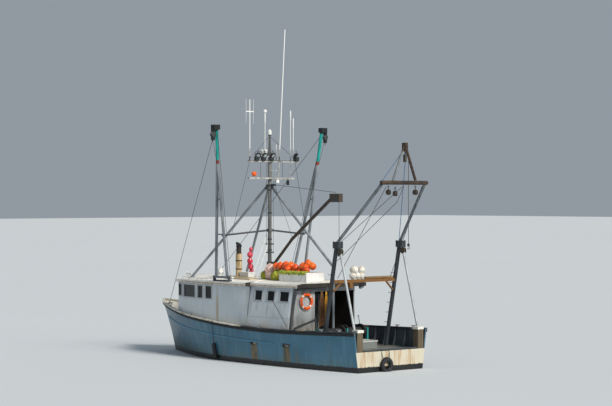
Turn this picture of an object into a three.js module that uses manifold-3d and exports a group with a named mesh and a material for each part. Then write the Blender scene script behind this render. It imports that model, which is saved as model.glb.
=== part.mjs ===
import * as THREE from 'three';
import { mergeVertices } from 'three/addons/utils/BufferGeometryUtils.js';
import Module from 'manifold-3d';

// Stern fishing trawler afloat. Millimetres, +Z up, +X forward, +Y to port.
// Heights are taken from the waterline. Lengths in the tables are taken from the transom
// and place() moves them so that the origin is amidships.
const MIDSHIPS = 7000;
const DECK = 800;
const PLATE = 60;
const GAP = 0.3;
const ROOF_UNDER = 3150;
const ROOF_EDGE = 140;
const ROOF_CAMBER = 150;
const HOUSE_AFT = 3750;
const HOUSE_SPLIT = 6350;
const WALL = 55;
const MAST_X = 7400;
const COLLAR_Z = 7180;
const OUTRIGGER_X = 7990;
const OUTRIGGER_Y = 2100;
const OUTRIGGER_Z = 3470;
const OUTRIGGER_HEAD = 9650;
const POST_Y = 1690;
const BEAM_Z = 3480;
const KNEE_Z = 4990;
const GANTRY_X = -750;
const GANTRY_Z = 7350;

const wasm = await Module();
wasm.setup();

const boat = new THREE.Group();
boat.name = 'fishing_trawler';

const paint = (color, roughness, metalness) =>
  new THREE.MeshStandardMaterial({ color, roughness, metalness });
const BLUE_HULL = [0x437b96, 0.5, 0.1];
const WHITE = [0xe9e8e2, 0.5, 0.0];
const BLACK = [0x22252a, 0.6, 0.1];
const STEEL = [0x8d9499, 0.55, 0.7];
const DARK_STEEL = [0x454b52, 0.6, 0.6];
const RUST = [0x9a6a3a, 0.85, 0.3];
const WOOD = [0x8b8069, 0.85, 0.0];
const GREEN_GREY = [0x7d868b, 0.7, 0.1];
const TEAL = [0x2ba79a, 0.5, 0.2];
const ORANGE = [0xe8602c, 0.5, 0.0];
const PINK = [0xe0607a, 0.5, 0.0];
const CREAM = [0xd8cba8, 0.6, 0.0];
const RUBBER = [0x1d1d1f, 0.9, 0.0];
const BRONZE = [0xa9824c, 0.4, 0.8];
const NET = [0x9aa84a, 0.95, 0.0];

// Moves a finished shape to the shared origin and adds it under its own name.
function place(name, geometry, look) {
  const shape = geometry.index ? geometry.toNonIndexed() : geometry.clone();
  shape.translate(-MIDSHIPS, 0, 0);
  shape.computeVertexNormals();
  const mesh = new THREE.Mesh(shape, paint(...look));
  mesh.name = name;
  boat.add(mesh);
}

function solid(geometry) {
  const bare = geometry.clone();
  bare.deleteAttribute('normal');
  bare.deleteAttribute('uv');
  const merged = mergeVertices(bare, 0.001);
  return new wasm.Manifold(new wasm.Mesh({
    numProp: 3,
    vertProperties: new Float32Array(merged.attributes.position.array),
    triVerts: new Uint32Array(merged.index.array),
  }));
}

function surface(body) {
  const mesh = body.getMesh();
  const geometry = new THREE.BufferGeometry();
  geometry.setAttribute('position', new THREE.BufferAttribute(new Float32Array(mesh.vertProperties), 3));
  geometry.setIndex(new THREE.BufferAttribute(new Uint32Array(mesh.triVerts), 1));
  return geometry;
}

const join = (...shapes) => surface(shapes.map(solid).reduce((all, next) => all.add(next)));
const cut = (shape, ...tools) => surface(
  tools.map(solid).reduce((all, next) => all.subtract(next), solid(shape)));

// Smooth curve through a table of [station, value] rows.
function curve(table, at) {
  const last = table.length - 1;
  if (at <= table[0][0]) return table[0][1];
  if (at >= table[last][0]) return table[last][1];
  let i = 0;
  while (table[i + 1][0] < at) i += 1;
  const slope = (a, b) => (table[b][1] - table[a][1]) / (table[b][0] - table[a][0]);
  const here = slope(i, i + 1);
  const start = i > 0 ? (slope(i - 1, i) + here) / 2 : here;
  const end = i + 1 < last ? (here + slope(i + 1, i + 2)) / 2 : here;
  const span = table[i + 1][0] - table[i][0];
  const t = (at - table[i][0]) / span;
  return table[i][1] * (2 * t ** 3 - 3 * t ** 2 + 1) + table[i + 1][1] * (3 * t ** 2 - 2 * t ** 3)
    + span * (start * (t ** 3 - 2 * t ** 2 + t) + end * (t ** 3 - t ** 2));
}

// Skins a row of matching closed rings and closes both ends.
function loft(rings) {
  const count = rings[0].length;
  const points = rings.flat();
  const faces = [];
  for (let i = 0; i + 1 < rings.length; i += 1) {
    for (let j = 0; j < count; j += 1) {
      const a = i * count + j;
      const b = i * count + (j + 1) % count;
      faces.push([a, b, b + count], [a, b + count, a + count]);
    }
  }
  const capped = (first, flip) => {
    const ring = rings[first];
    const normal = new THREE.Vector3();
    ring.forEach((p, j) => {
      const q = ring[(j + 1) % count];
      normal.x += (p[1] - q[1]) * (p[2] + q[2]);
      normal.y += (p[2] - q[2]) * (p[0] + q[0]);
      normal.z += (p[0] - q[0]) * (p[1] + q[1]);
    });
    normal.normalize();
    const side = new THREE.Vector3(Math.abs(normal.z) < 0.9 ? 0 : 1, 0, Math.abs(normal.z) < 0.9 ? 1 : 0);
    const u = side.cross(normal).normalize();
    const v = normal.clone().cross(u);
    const flat = ring.map((p) => {
      const at = new THREE.Vector3(...p);
      return new THREE.Vector2(at.dot(u), at.dot(v));
    });
    THREE.ShapeUtils.triangulateShape(flat, []).forEach(([a, b, c]) => {
      const turn = (flat[b].x - flat[a].x) * (flat[c].y - flat[a].y)
        - (flat[b].y - flat[a].y) * (flat[c].x - flat[a].x);
      const base = first * count;
      const ahead = (turn > 0) !== flip;
      faces.push(ahead ? [base + a, base + b, base + c] : [base + a, base + c, base + b]);
    });
  };
  capped(0, true);
  capped(rings.length - 1, false);
  let volume = 0;
  faces.forEach(([a, b, c]) => {
    const [p, q, r] = [points[a], points[b], points[c]];
    volume += p[0] * (q[1] * r[2] - q[2] * r[1]) + p[1] * (q[2] * r[0] - q[0] * r[2])
      + p[2] * (q[0] * r[1] - q[1] * r[0]);
  });
  const geometry = new THREE.BufferGeometry();
  geometry.setAttribute('position', new THREE.BufferAttribute(new Float32Array(points.flat()), 3));
  geometry.setIndex(faces.flatMap(([a, b, c]) => (volume > 0 ? [a, b, c] : [a, c, b])));
  return geometry;
}

// Round bar through the given points, with one radius or one at each point.
function pipe(points, radius, sides = 10) {
  const path = points.map((p) => new THREE.Vector3(...p));
  let up = null;
  const rings = path.map((here, i) => {
    const back = i > 0 ? here.clone().sub(path[i - 1]).normalize() : null;
    const ahead = i + 1 < path.length ? path[i + 1].clone().sub(here).normalize() : null;
    const along = back && ahead ? back.clone().add(ahead).normalize() : (back || ahead);
    if (!up) up = Math.abs(along.z) > 0.8 ? new THREE.Vector3(1, 0, 0) : new THREE.Vector3(0, 0, 1);
    up = up.clone().addScaledVector(along, -up.dot(along)).normalize();
    const across = along.clone().cross(up);
    const r = Array.isArray(radius) ? radius[i] : radius;
    return Array.from({ length: sides }, (_, j) => {
      const turn = (j * 2 * Math.PI) / sides;
      const corner = here.clone().addScaledVector(up, r * Math.cos(turn));
      return corner.addScaledVector(across, r * Math.sin(turn)).toArray();
    });
  });
  return loft(rings);
}

// Box between two opposite corners.
function box(low, high) {
  const size = high.map((v, i) => v - low[i]);
  const shape = new THREE.BoxGeometry(...size);
  shape.translate(...low.map((v, i) => v + size[i] / 2));
  return shape;
}

// Faceted ball, taller or flatter by its last value.
function ball(x, y, z, r, squash = 1) {
  const shape = new THREE.SphereGeometry(r, 10, 7);
  shape.scale(1, 1, squash);
  return shape.translate(x, y, z);
}

const mirrored = (points) => points.map(([x, y, z]) => [x, -y, z]);

// Hull lines. Stations run from the transom to 14000 at the stem.
const SHEER_HEIGHT = [[0, 1600], [2000, 1550], [4000, 1510], [5300, 1510], [7600, 1590], [9100, 1700],
  [10900, 1850], [12000, 1985], [13200, 2130], [14000, 2250]];
const SHEER_BREADTH = [[0, 1950], [1000, 2050], [2000, 2130], [4000, 2220], [6000, 2250], [8000, 2230],
  [9000, 2180], [10000, 2080], [11000, 1880], [12000, 1560], [13000, 980], [13500, 600], [13800, 280],
  [14000, 45]];
const WATER_BREADTH = [[0, 1720], [1000, 1850], [2000, 1950], [4000, 2060], [6000, 2090], [8000, 2020],
  [9000, 1900], [10000, 1680], [11000, 1340], [12000, 900], [13000, 440], [13500, 230], [13800, 105],
  [14000, 45]];
const BOTTOM = [[0, -150], [1000, -350], [2000, -560], [3000, -740], [4000, -880], [6000, -1020],
  [8000, -1050], [10500, -1050], [12000, -1000], [13000, -900], [13600, -760], [14000, -600]];
const FULLNESS = [[0, 2.0], [6000, 2.5], [9000, 2.1], [12000, 1.5], [14000, 1.2]];
const STEM = [[-1050, 13050], [-600, 13550], [-300, 13760], [0, 13900], [370, 14000], [850, 14200],
  [1380, 14540], [1900, 14770], [2250, 14830]];
const STATIONS = [0, 500, 1200, 2000, 3000, 4000, 5000, 6000, 7000, 8000, 9000, 9700, 10400, 11100, 11700,
  12200, 12700, 13150, 13500, 13750, 13900, 14000];

const sheer = (station) => curve(SHEER_HEIGHT, station);

// Point on the outer skin at a station and height, on the port side.
function skin(station, z) {
  const water = curve(WATER_BREADTH, station);
  const bottom = curve(BOTTOM, station);
  const fullness = curve(FULLNESS, station);
  let y = water + (curve(SHEER_BREADTH, station) - water) * Math.max(0, z / sheer(station)) ** 0.92;
  if (z < 0) y = water * (1 - (z / bottom) ** fullness) ** (1 / fullness);
  const rake = Math.max(0, (station - 11000) / 3000) ** 2;
  return [station + rake * (curve(STEM, z) - 14000), Math.max(y, 40), z];
}

const hull = loft(STATIONS.map((station) => {
  const bottom = curve(BOTTOM, station);
  const levels = [1, 0.97, 0.86, 0.66, 0.36, 0].map((share) => share * bottom).concat([200, 480, DECK]);
  const port = levels.map((z) => skin(station, z));
  return port.concat(mirrored(port).reverse());
}));
place('hull', hull, BLUE_HULL);

// Point on the outer face of the flat bulwark plating, at a station and height.
function plating(station, z) {
  const low = skin(station, DECK + GAP);
  const high = skin(station, sheer(station) - 50);
  return low.map((v, i) => v + ((high[i] - v) * (z - low[2])) / (high[2] - low[2]));
}

const clearOfHull = (shape) => cut(shape, hull.clone().translate(0, 0, -GAP));

const KEEL_STATIONS = [2600, 4000, 6000, 8000, 10000, 11500, 12600, 13200];
place('keel', clearOfHull(join(
  loft(KEEL_STATIONS.map((station) => {
    const top = curve(BOTTOM, station) + 60;
    const foot = Math.min(top - 20, -1650 + Math.max(0, station - 11000) * 0.32);
    const x = skin(station, top)[0];
    return [[x, 55, top], [x, 55, foot], [x, -55, foot], [x, -55, top]];
  })),
  loft([[2605, -600, -1650], [2000, -780, -1650], [1450, -1010, -1650]].map(([x, top, foot]) => [
    [x, 55, top], [x, 55, foot], [x, -55, foot], [x, -55, top]])),
  box([250, -45, -1700], [1600, 45, -1630]),
  pipe([[2700, 0, -1150], [1370.6, 0, -1150]], 95, 12),
)), BLACK);

const blade = (turn) => {
  const shape = new THREE.BoxGeometry(30, 230, 400);
  shape.rotateZ(0.6);
  shape.translate(0, 0, 230);
  shape.rotateX(turn);
  return shape.translate(1250, 0, -1150);
};
place('propeller', join(
  pipe([[1370, 0, -1150], [1180, 0, -1150], [1080, 0, -1150]], [85, 80, 40], 14),
  ...[0, 1, 2, 3].map((i) => blade((i * Math.PI) / 2)),
), BRONZE);

place('rudder', join(
  loft([[-1600, 0.95], [-1100, 1], [-620, 0.9]].map(([z, size]) => [
    [700, 45, z], [400 - 200 * size, 40, z], [-80 * size, 12, z], [-80 * size, -12, z],
    [400 - 200 * size, -40, z], [700, -45, z], [790, 0, z]])),
  pipe([[640, 0, -1629.4], [640, 0, -1000], [640, 0, -300]], 42, 12),
), BLACK);

// Bulwarks, their white caps, and the black rubbing strakes.
for (const [side, sign] of [['port', 1], ['starboard', -1]]) {
  const hand = ([x, y, z]) => [x, sign * y, z];
  const inward = ([x, y, z], by) => [x, Math.max(y - by, GAP), z];
  const scupper = (x) => box([x - 180, sign * 2200 - 300, DECK - 20],
    [x + 180, sign * 2200 + 300, DECK + 95]);
  const wall = loft(STATIONS.map((station) => {
    const low = skin(station, DECK + GAP);
    const high = skin(station, sheer(station) - 50);
    return [low, high, inward(high, PLATE), inward(low, PLATE)].map(hand);
  }));
  place(`${side}_bulwark`, cut(wall, scupper(5800), scupper(3800)), BLUE_HULL);
  place(`${side}_cap_rail`, loft(STATIONS.map((station) => {
    const top = skin(station, sheer(station));
    [top[0]] = skin(station, sheer(station) - 50);
    const out = Math.min(45, 0.4 * top[1]);
    const rail = (by, drop) => hand([top[0], Math.max(top[1] + by, GAP), top[2] - drop]);
    return [rail(out, 50 - GAP), rail(out, 0), rail(-115, 0), rail(-115, 50 - GAP)];
  })), WHITE);
  const STRAKE = [[-175, 9], [-150, 50], [-112, 62], [-76, 50], [-60, 9]];
  const seat = (station, out) => (out < 10 && station < 2500 ? 0.6 : out);
  place(`${side}_rub_rail`, loft(STATIONS.slice(0, -1).map((station) => STRAKE.map(([drop, out]) => {
    const [x, y, z] = plating(station, sheer(station) + drop);
    return hand([x, y + seat(station, out), z]);
  }))), BLACK);
  place(`${side}_corner_post`, join(
    box([5, sign > 0 ? 1480 : -1770, DECK + GAP], [270, sign > 0 ? 1770 : -1480, 1560]),
    box([-20, sign > 0 ? 1450 : -1770, 1550], [300, sign > 0 ? 1770 : -1450, 1660]),
  ), WOOD);
}

// Fore deck between the bulwarks, with a pair of bitts.
const FORE = [12000, 12350, 12700, 13150, 13500, 13700];
place('fore_deck', loft(FORE.map((station) => {
  const inner = (z) => {
    const [x, y] = plating(station, z);
    return [x, Math.max(y - PLATE - 40, 8), z];
  };
  const port = [inner(DECK + GAP), inner(1100), inner(1400)];
  return port.concat(mirrored(port).reverse());
})), GREEN_GREY);
place('bow_bitts', join(
  pipe([[12950, 170, 1400 + GAP], [12950, 170, 1850]], 65, 12),
  pipe([[12950, -170, 1400 + GAP], [12950, -170, 1850]], 65, 12),
  pipe([[12950, -300, 1680], [12950, 300, 1680]], 40, 10),
), DARK_STEEL);

// House. The walls stand inside the bulwarks, widen to a knee just above the rail and carry
// the roof. The aft part leans inboard above the knee.
const LEAN = 270;
const sideAt = (x) => curve(SHEER_BREADTH, x) - 125;
const footAt = (x) => plating(x, DECK)[1] - 85;
const kneeAt = (x) => sheer(x) + 20;
const HOUSE_FRONT = [[11200, sideAt(11200)], [11750, 1500], [11930, 950]];
const alongSide = (from, to, step) => {
  const rows = [];
  for (let x = from; x < to - 1; x += step) rows.push(x);
  return rows.concat([to]);
};

// Wall of even thickness along a plan line. Each ring has the outer and inner face at the deck,
// the knee and the roof, and the line's ends are cut square or along the given inward step.
function wallRun(line, lean, ends) {
  return loft(line.map(([x, y, foot], i) => {
    const [before, after] = [line[Math.max(0, i - 1)], line[Math.min(line.length - 1, i + 1)]];
    const normal = (a, b) => {
      const span = Math.hypot(b[0] - a[0], b[1] - a[1]);
      return [(b[1] - a[1]) / span, (a[0] - b[0]) / span];
    };
    const p = normal(i > 0 ? before : line[0], i > 0 ? line[i] : line[1]);
    const q = i + 1 < line.length ? normal(line[i], after) : p;
    const share = WALL / (1 + p[0] * q[0] + p[1] * q[1]);
    const inward = ends[i] || [(p[0] + q[0]) * share, (p[1] + q[1]) * share];
    const out = [[x, foot, DECK + GAP], [x, y, kneeAt(x)], [x, y - Math.sign(y) * lean, ROOF_UNDER - GAP]];
    return out.concat(out.map(([a, b, c]) => [a + inward[0], b + inward[1], c]).reverse());
  }));
}
const windowBox = (x0, x1, z0, z1, y) => box([x0, y - 320, z0], [x1, y + 320, z1]);
const windowAcross = (from, to, wide, z0, z1) => {
  const shape = new THREE.BoxGeometry(wide, 300, z1 - z0);
  shape.rotateZ(Math.atan2(to[1] - from[1], to[0] - from[0]));
  return shape.translate((from[0] + to[0]) / 2, (from[1] + to[1]) / 2, (z0 + z1) / 2);
};
const [EDGE_A, EDGE_B, EDGE_C] = HOUSE_FRONT;
const MITRE = [-44, -42.4];
const flipped = (shape) => {
  const twin = shape.clone().scale(1, -1, 1);
  const order = twin.index.array.slice();
  for (let i = 0; i < order.length; i += 3) [order[i], order[i + 1]] = [order[i + 1], order[i]];
  return twin.setIndex(new THREE.BufferAttribute(order, 1));
};
const wheelhouseSide = cut(
  wallRun(alongSide(HOUSE_SPLIT + GAP, EDGE_A[0], 720).map((x) => [x, sideAt(x), footAt(x)])
    .concat([[EDGE_B[0], EDGE_B[1], footAt(EDGE_B[0])]]), 0, { 0: [0, -WALL], 8: MITRE }),
  windowBox(10010, 11060, 2560, 3060, 1850), windowBox(9400, 9770, 2560, 3060, 1990),
  windowBox(8730, 9160, 2560, 3060, 2040), windowAcross(EDGE_A, EDGE_B, 420, 2580, 3060),
);
place('port_wheelhouse_side', wheelhouseSide, WHITE);
place('starboard_wheelhouse_side', flipped(wheelhouseSide), WHITE);
const frontB = [EDGE_B[0] + 0.3, EDGE_B[1] - 0.5, footAt(EDGE_B[0]) - 0.5];
const frontC = [...EDGE_C, EDGE_C[1]];
const acrossBow = ([x, y, foot]) => [x, -y, -foot];
place('wheelhouse_front', cut(
  wallRun([frontB, frontC, acrossBow(frontC), acrossBow(frontB)], 0, { 0: MITRE, 3: [MITRE[0], -MITRE[1]] }),
  windowAcross(EDGE_B, EDGE_C, 400, 2580, 3060),
  windowAcross([EDGE_B[0], -EDGE_B[1]], [EDGE_C[0], -EDGE_C[1]], 400, 2580, 3060),
  box([11800, -830, 2580], [12000, -60, 3060]), box([11800, 60, 2580], [12000, 830, 3060]),
), WHITE);

// Aft part of the house. Its starboard wall stands inboard, which leaves a covered side deck.
const AFT_XS = alongSide(HOUSE_AFT, HOUSE_SPLIT, 630);
const ALLEY_Y = -1500;
place('port_aft_house_side', cut(
  wallRun(AFT_XS.map((x) => [x, sideAt(x), footAt(x)]), LEAN, { 0: [0, -WALL], 5: [0, -WALL] }),
  ...[[5590, 6020], [4820, 5240], [3950, 4470]].map(([a, b]) => windowBox(a, b, 2610, 2990, 1800)),
), WHITE);
place('starboard_aft_house_side', cut(
  box([HOUSE_AFT, ALLEY_Y, DECK + GAP], [HOUSE_SPLIT + 30 - GAP, ALLEY_Y + WALL, ROOF_UNDER - GAP]),
  ...[[5590, 6020], [4820, 5240]].map(([a, b]) => windowBox(a, b, 2410, 2890, ALLEY_Y)),
), WHITE);
const innerPanel = (from, to, clear) => loft([from, to].map((x) => {
  const inner = WALL + clear;
  const port = [[x, footAt(x) - inner, DECK + GAP], [x, sideAt(x) - inner, kneeAt(x)],
    [x, sideAt(x) - inner, ROOF_UNDER - GAP]];
  return port.concat(mirrored(port).reverse());
}));
const HINGE_X = HOUSE_SPLIT - 2;
const HINGE_Y = -1178;
place('cabin_partition', join(
  cut(innerPanel(HOUSE_SPLIT + 30, HOUSE_SPLIT + 80, 6),
    box([HOUSE_SPLIT, HINGE_Y + 28, DECK - 10], [HOUSE_SPLIT + 200, HINGE_Y + 728, 2750])),
  ...[1150, 2350].map((z) => box([HINGE_X + 18.6, HINGE_Y - 22, z],
    [HOUSE_SPLIT + 40, HINGE_Y + 10, z + 100])),
), WHITE);

// Aft bulkhead: a panel beside the wide opening, and a header across it.
{
  const lean = (z) => (Math.max(0, z - kneeAt(HOUSE_AFT)) / (ROOF_UNDER - kneeAt(HOUSE_AFT))) * LEAN;
  const edge = (z) => sideAt(HOUSE_AFT) - WALL - 6 - lean(z);
  const outline = (x) => [[x, footAt(HOUSE_AFT) - WALL - 6, DECK + GAP], [x, edge(0), kneeAt(HOUSE_AFT)],
    [x, edge(ROOF_UNDER), ROOF_UNDER - GAP], [x, ALLEY_Y + WALL + 1, ROOF_UNDER - GAP],
    [x, ALLEY_Y + WALL + 1, 2980], [x, 670, 2980], [x, 670, DECK + GAP]];
  place('aft_bulkhead', loft([HOUSE_AFT, HOUSE_AFT + 50].map(outline)), WHITE);
}
place('cabin_door', join(
  box([HINGE_X - 745, HINGE_Y - 22, DECK + 20], [HINGE_X - 15, HINGE_Y + 22, 2770]),
  box([HINGE_X - 648, HINGE_Y - 52, 1780], [HINGE_X - 618, HINGE_Y + 48, 1810]),
  ...[1150, 2350].map((z) => pipe([[HINGE_X, HINGE_Y, z], [HINGE_X, HINGE_Y, z + 100]], 18, 10)),
), WHITE);

// Roofs, cambered, with a fascia along each edge.
const roof = (xs, edgeOf) => loft(xs.map((x) => {
  const y = edgeOf(x);
  const top = ROOF_UNDER + ROOF_EDGE;
  const port = [[x, y, ROOF_UNDER], [x, y, top], [x, y * 0.6, top + ROOF_CAMBER * 0.64],
    [x, 0, top + ROOF_CAMBER]];
  return port.concat(mirrored(port).slice(0, 3).reverse());
}));
const FORE_ROOF = [HOUSE_SPLIT + GAP, 7200, 8100, 9000, 10000, 10700, 11200, 11850, 12100];
const AFT_ROOF = [HOUSE_AFT - 300, 5000, 5700, HOUSE_SPLIT];
const FORE_EDGE = { 11850: 1620, 12100: 1100 };
const foreEdge = (x) => FORE_EDGE[x] || sideAt(x) + 50;
const aftEdge = (x) => sideAt(x) - LEAN + 60;
const wheelhouseRoof = roof(FORE_ROOF, foreEdge);
const aftRoof = roof(AFT_ROOF, aftEdge);
place('wheelhouse_roof', wheelhouseRoof, WHITE);
place('aft_house_roof', aftRoof, WHITE);
const roofs = [wheelhouseRoof, aftRoof];
const onRoof = (shape) => cut(shape, ...roofs.map((roof) => roof.clone().translate(0, 0, GAP)));
const linear = (xs, edgeOf, x) => {
  const i = Math.max(0, xs.findIndex((v) => v > x) - 1);
  return edgeOf(xs[i]) + ((edgeOf(xs[i + 1]) - edgeOf(xs[i])) * (x - xs[i])) / (xs[i + 1] - xs[i]);
};
const roofTop = (x, y) => {
  const edge = x > HOUSE_SPLIT ? linear(FORE_ROOF, foreEdge, x) : linear(AFT_ROOF, aftEdge, x);
  const share = Math.abs(y) / edge;
  const rise = share < 0.6 ? 1 - 0.6 * share : 0.64 * (1 - (share - 0.6) / 0.4);
  return ROOF_UNDER + ROOF_EDGE + ROOF_CAMBER * rise;
};

// Foot plate that follows the cambered roof.
const pad = (x, y, half) => onRoof(box([x - half, y - half, 3200], [x + half, y + half, roofTop(x, y) + 30]));

// Helm seen through the windows.
place('helm_console', join(
  box([11000, -900, DECK + GAP], [11300, 900, 1900]),
  box([10850, -900, 1850], [11300, 900, 1960]),
), WOOD);

// Gear on the roof.
place('exhaust_stack', join(
  onRoof(pipe([[8350, 900, 3300], [8350, 900, 4420]], 130, 14)),
  pipe([[8350, 900, 4370], [8350, 900, 4760]], 105, 14),
), CREAM);
place('searchlight', join(
  pad(9300, 1200, 70),
  pipe([[9300, 1200, roofTop(9300, 1200) + 20], [9300, 1200, 3620]], 30, 10),
  pipe([[9160, 1200, 3690], [9420, 1200, 3690], [9460, 1200, 3690]], [110, 110, 60], 12),
), WHITE);
place('gear_box', onRoof(cut(
  box([3595, 300, 3300], [5295, 1250, 3750]),
  box([3635, 340, 3505], [5255, 1210, 3950]),
)), WHITE);
place('buoy_heap', join(
  ball(5790, 1000, 3970, 145), ball(5560, 960, 3980, 175), ball(5270, 900, 3990, 190),
  ball(4970, 900, 3990, 185), ball(4950, 1090, 3880, 140), ball(4680, 900, 3930, 160),
  ball(4400, 820, 3900, 160), ball(4220, 900, 3990, 165), ball(4010, 800, 4120, 160),
  ball(4000, 960, 3950, 150), ball(3950, 620, 3990, 165), ball(3830, 1040, 3850, 140),
  box([3700, 600, 3505 + GAP], [5150, 1100, 3850]),
), ORANGE);
place('net_heap', onRoof(join(ball(6540, 850, 3540, 330, 0.8), ball(6230, 930, 3700, 265, 1.45),
  ball(5720, 960, 3520, 300, 0.87), ball(6400, 380, 3560, 260, 0.8))), NET);
place('hanging_buoys', join(
  ball(8050, 540, 4370, 125, 1.15), ball(8050, 540, 4100, 125, 1.15), ball(8050, 500, 3860, 120, 1.1),
  ball(8050, 420, 3650, 125), ball(8000, 520, 4600, 90, 1.5),
  pad(8050, 540, 60),
  pipe([[8050, 540, roofTop(8050, 540) + 20], [8050, 540, 4600]], 18, 8),
), PINK);

// Mast with its crosstrees, aerials and lamps. Legs butt on short stubs at the collar.
const LEGS = [
  ['port_mast_leg', [7580, 88, 7160], [10850, 1500, roofTop(10850, 1500) + 10]],
  ['starboard_mast_leg', [7580, -88, 7160], [10850, -1500, roofTop(10850, 1500) + 10]],
  ['aft_mast_leg', [7200, 0, 7160], [3385, 0, 3980]],
];
const stub = ([, top, foot]) => {
  const start = new THREE.Vector3(...top);
  const along = start.clone().sub(new THREE.Vector3(...foot)).normalize();
  const reach = (far) => start.clone().addScaledVector(along, far).toArray();
  return pipe([reach(170), reach(0.5)], 50, 10);
};
const band = (z, half, tall) => box([MAST_X - half, -half, z - tall], [MAST_X + half, half, z + tall]);
place('mast', join(
  ...LEGS.map(stub), band(5400, 90, 60), band(7580, 90, 45), band(8290, 90, 45), band(8480, 80, 35),
  pipe([[MAST_X, 0, 3442], [MAST_X, 0, 7000], [MAST_X, 0, 8250], [MAST_X, 0, 8900], [MAST_X, 0, 9350]],
    [80, 80, 85, 55, 40], 14),
  pipe([[MAST_X, 0, COLLAR_Z - 70], [MAST_X, 0, COLLAR_Z + 70]], 140, 14),
  pipe([[MAST_X, 0, 3860], [MAST_X, 0, 4090]], 134, 14),
  ball(MAST_X, 0, 9400, 70),
), STEEL);
const treeBar = (z, starboard, port, deep) => box([MAST_X - deep, starboard, z - 35],
  [MAST_X - 90 - GAP, port, z + 35]);
const whip = (x, y, z, top, r) => pipe([[x, y, z], [x, y, top]], r, 8);
place('upper_crosstree', join(
  treeBar(8290, -1460, 1270, 160),
  ...[[1180, 10850, 20], [360, 10360, 14], [-250, 9000, 14], [-1190, 10130, 16]].map(([y, top, r]) =>
    whip(MAST_X - 125, y, 8280, top, r)),
  box([MAST_X - 140, 980, 10330], [MAST_X - 110, 1380, 10370]),
  ...[840, 480, 50, -1330].map((y) => box([MAST_X - 240, y - 90, 8320], [MAST_X - 95, y + 90, 8490])),
), STEEL);
place('lower_crosstree', join(
  treeBar(7580, -1190, 1270, 220),
  whip(MAST_X - 195, -980, 7560, 10450, 14),
  pipe([[MAST_X - 195, -310, 7560], [MAST_X - 195, -670, 13850]], 22, 8),
  whip(MAST_X - 140, 960, 7560, 7720, 18), ball(MAST_X - 140, 960, 7760, 105),
), STEEL);
place('radar_dome', join(
  pipe([[MAST_X + 60, 270, 8520], [MAST_X + 60, 270, 8760], [MAST_X + 60, 270, 8800]], [150, 150, 100], 14),
  box([MAST_X - 60, 80 + GAP, 8450], [MAST_X + 60, 300, 8530]),
), WHITE);

for (const [side, sign] of [['port', 1], ['starboard', -1]]) {
  const [name, top, foot] = LEGS[sign > 0 ? 0 : 1];
  place(name, onRoof(join(pipe([top, foot], 55, 10),
    box([foot[0] - 100, foot[1] - 100, foot[2] - 30], [foot[0] + 100, foot[1] + 100, foot[2] + 20]))), STEEL);
  place(`${side}_spreader_bar`, join(
    pipe([[MAST_X, sign * 110, 5400], [7790, sign * 2250, 5205]], 38, 8),
    box([MAST_X - 60, sign > 0 ? 90 + GAP : -135, 5350], [MAST_X + 60, sign > 0 ? 135 : -90 - GAP, 5450]),
  ), DARK_STEEL);
}
place('aft_mast_leg', pipe([LEGS[2][1], LEGS[2][2], [3385, 0, 3880], [3385, 0, DECK + GAP]], 55, 10), STEEL);

// Boom on the after side of the mast.
place('boom', join(
  pipe([[MAST_X - 330, 40, 3990], [5700, 190, 5080]], 62, 10),
  pipe([[5760, 185, 5040], [2900, 434, 6811]], 68, 10),
  box([2420, 350, 6590], [3000, 550, 6930]),
  box([MAST_X - 380, -60, 3880], [MAST_X - 134.6, 90, 4070]),
), DARK_STEEL);

// Outriggers stand at the roof edge and lower outboard.
for (const [side, sign] of [['port', 1], ['starboard', -1]]) {
  const at = (x, y, z) => [x, sign * y, z];
  const head = at(7350, 2870, OUTRIGGER_HEAD);
  const neck = at(7450, 2750, 8430);
  const slab = (x0, x1, y0, y1, z0, z1) => box(
    [x0, Math.min(sign * y0, sign * y1), z0], [x1, Math.max(sign * y0, sign * y1), z1]);
  const rung = (z) => {
    const t = (z - OUTRIGGER_Z) / (8430 - OUTRIGGER_Z);
    const y = OUTRIGGER_Y + t * (2750 - OUTRIGGER_Y);
    return pipe([at(OUTRIGGER_X + 370 - t * 910, y, z), at(OUTRIGGER_X - 370 - t * 170, y, z)], 30, 8);
  };
  place(`${side}_outrigger`, join(
    pipe([at(OUTRIGGER_X + 370, OUTRIGGER_Y, OUTRIGGER_Z), neck, head], [62, 66, 72], 10),
    pipe([at(OUTRIGGER_X - 370, OUTRIGGER_Y, OUTRIGGER_Z), neck], [62, 58], 10),
    pipe([451.4, -451.4].map((dx) => at(OUTRIGGER_X + dx, OUTRIGGER_Y, OUTRIGGER_Z)), 48, 10),
    rung(5250), rung(6700),
    slab(7230, 7470, 2780, 3080, 9560, 9760),
    slab(7290, 7410, 3000, 3120, 9120, 9600),
  ), STEEL);
}

// Hinge brackets of the outriggers on the roof edge.
for (const [side, sign] of [['port', 1], ['starboard', -1]]) {
  const y0 = sign * OUTRIGGER_Y;
  place(`${side}_outrigger_step`, onRoof(join(
    box([OUTRIGGER_X - 510, y0 - (sign > 0 ? 130 : 0), 3200],
      [OUTRIGGER_X + 510, y0 + (sign > 0 ? 0 : 130), 3350]),
    box([OUTRIGGER_X - 510, y0 - 60, 3300], [OUTRIGGER_X - 452, y0 + 60, OUTRIGGER_Z + 60]),
    box([OUTRIGGER_X + 452, y0 - 60, 3300], [OUTRIGGER_X + 510, y0 + 60, OUTRIGGER_Z + 60]),
  )), DARK_STEEL);
}

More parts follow.
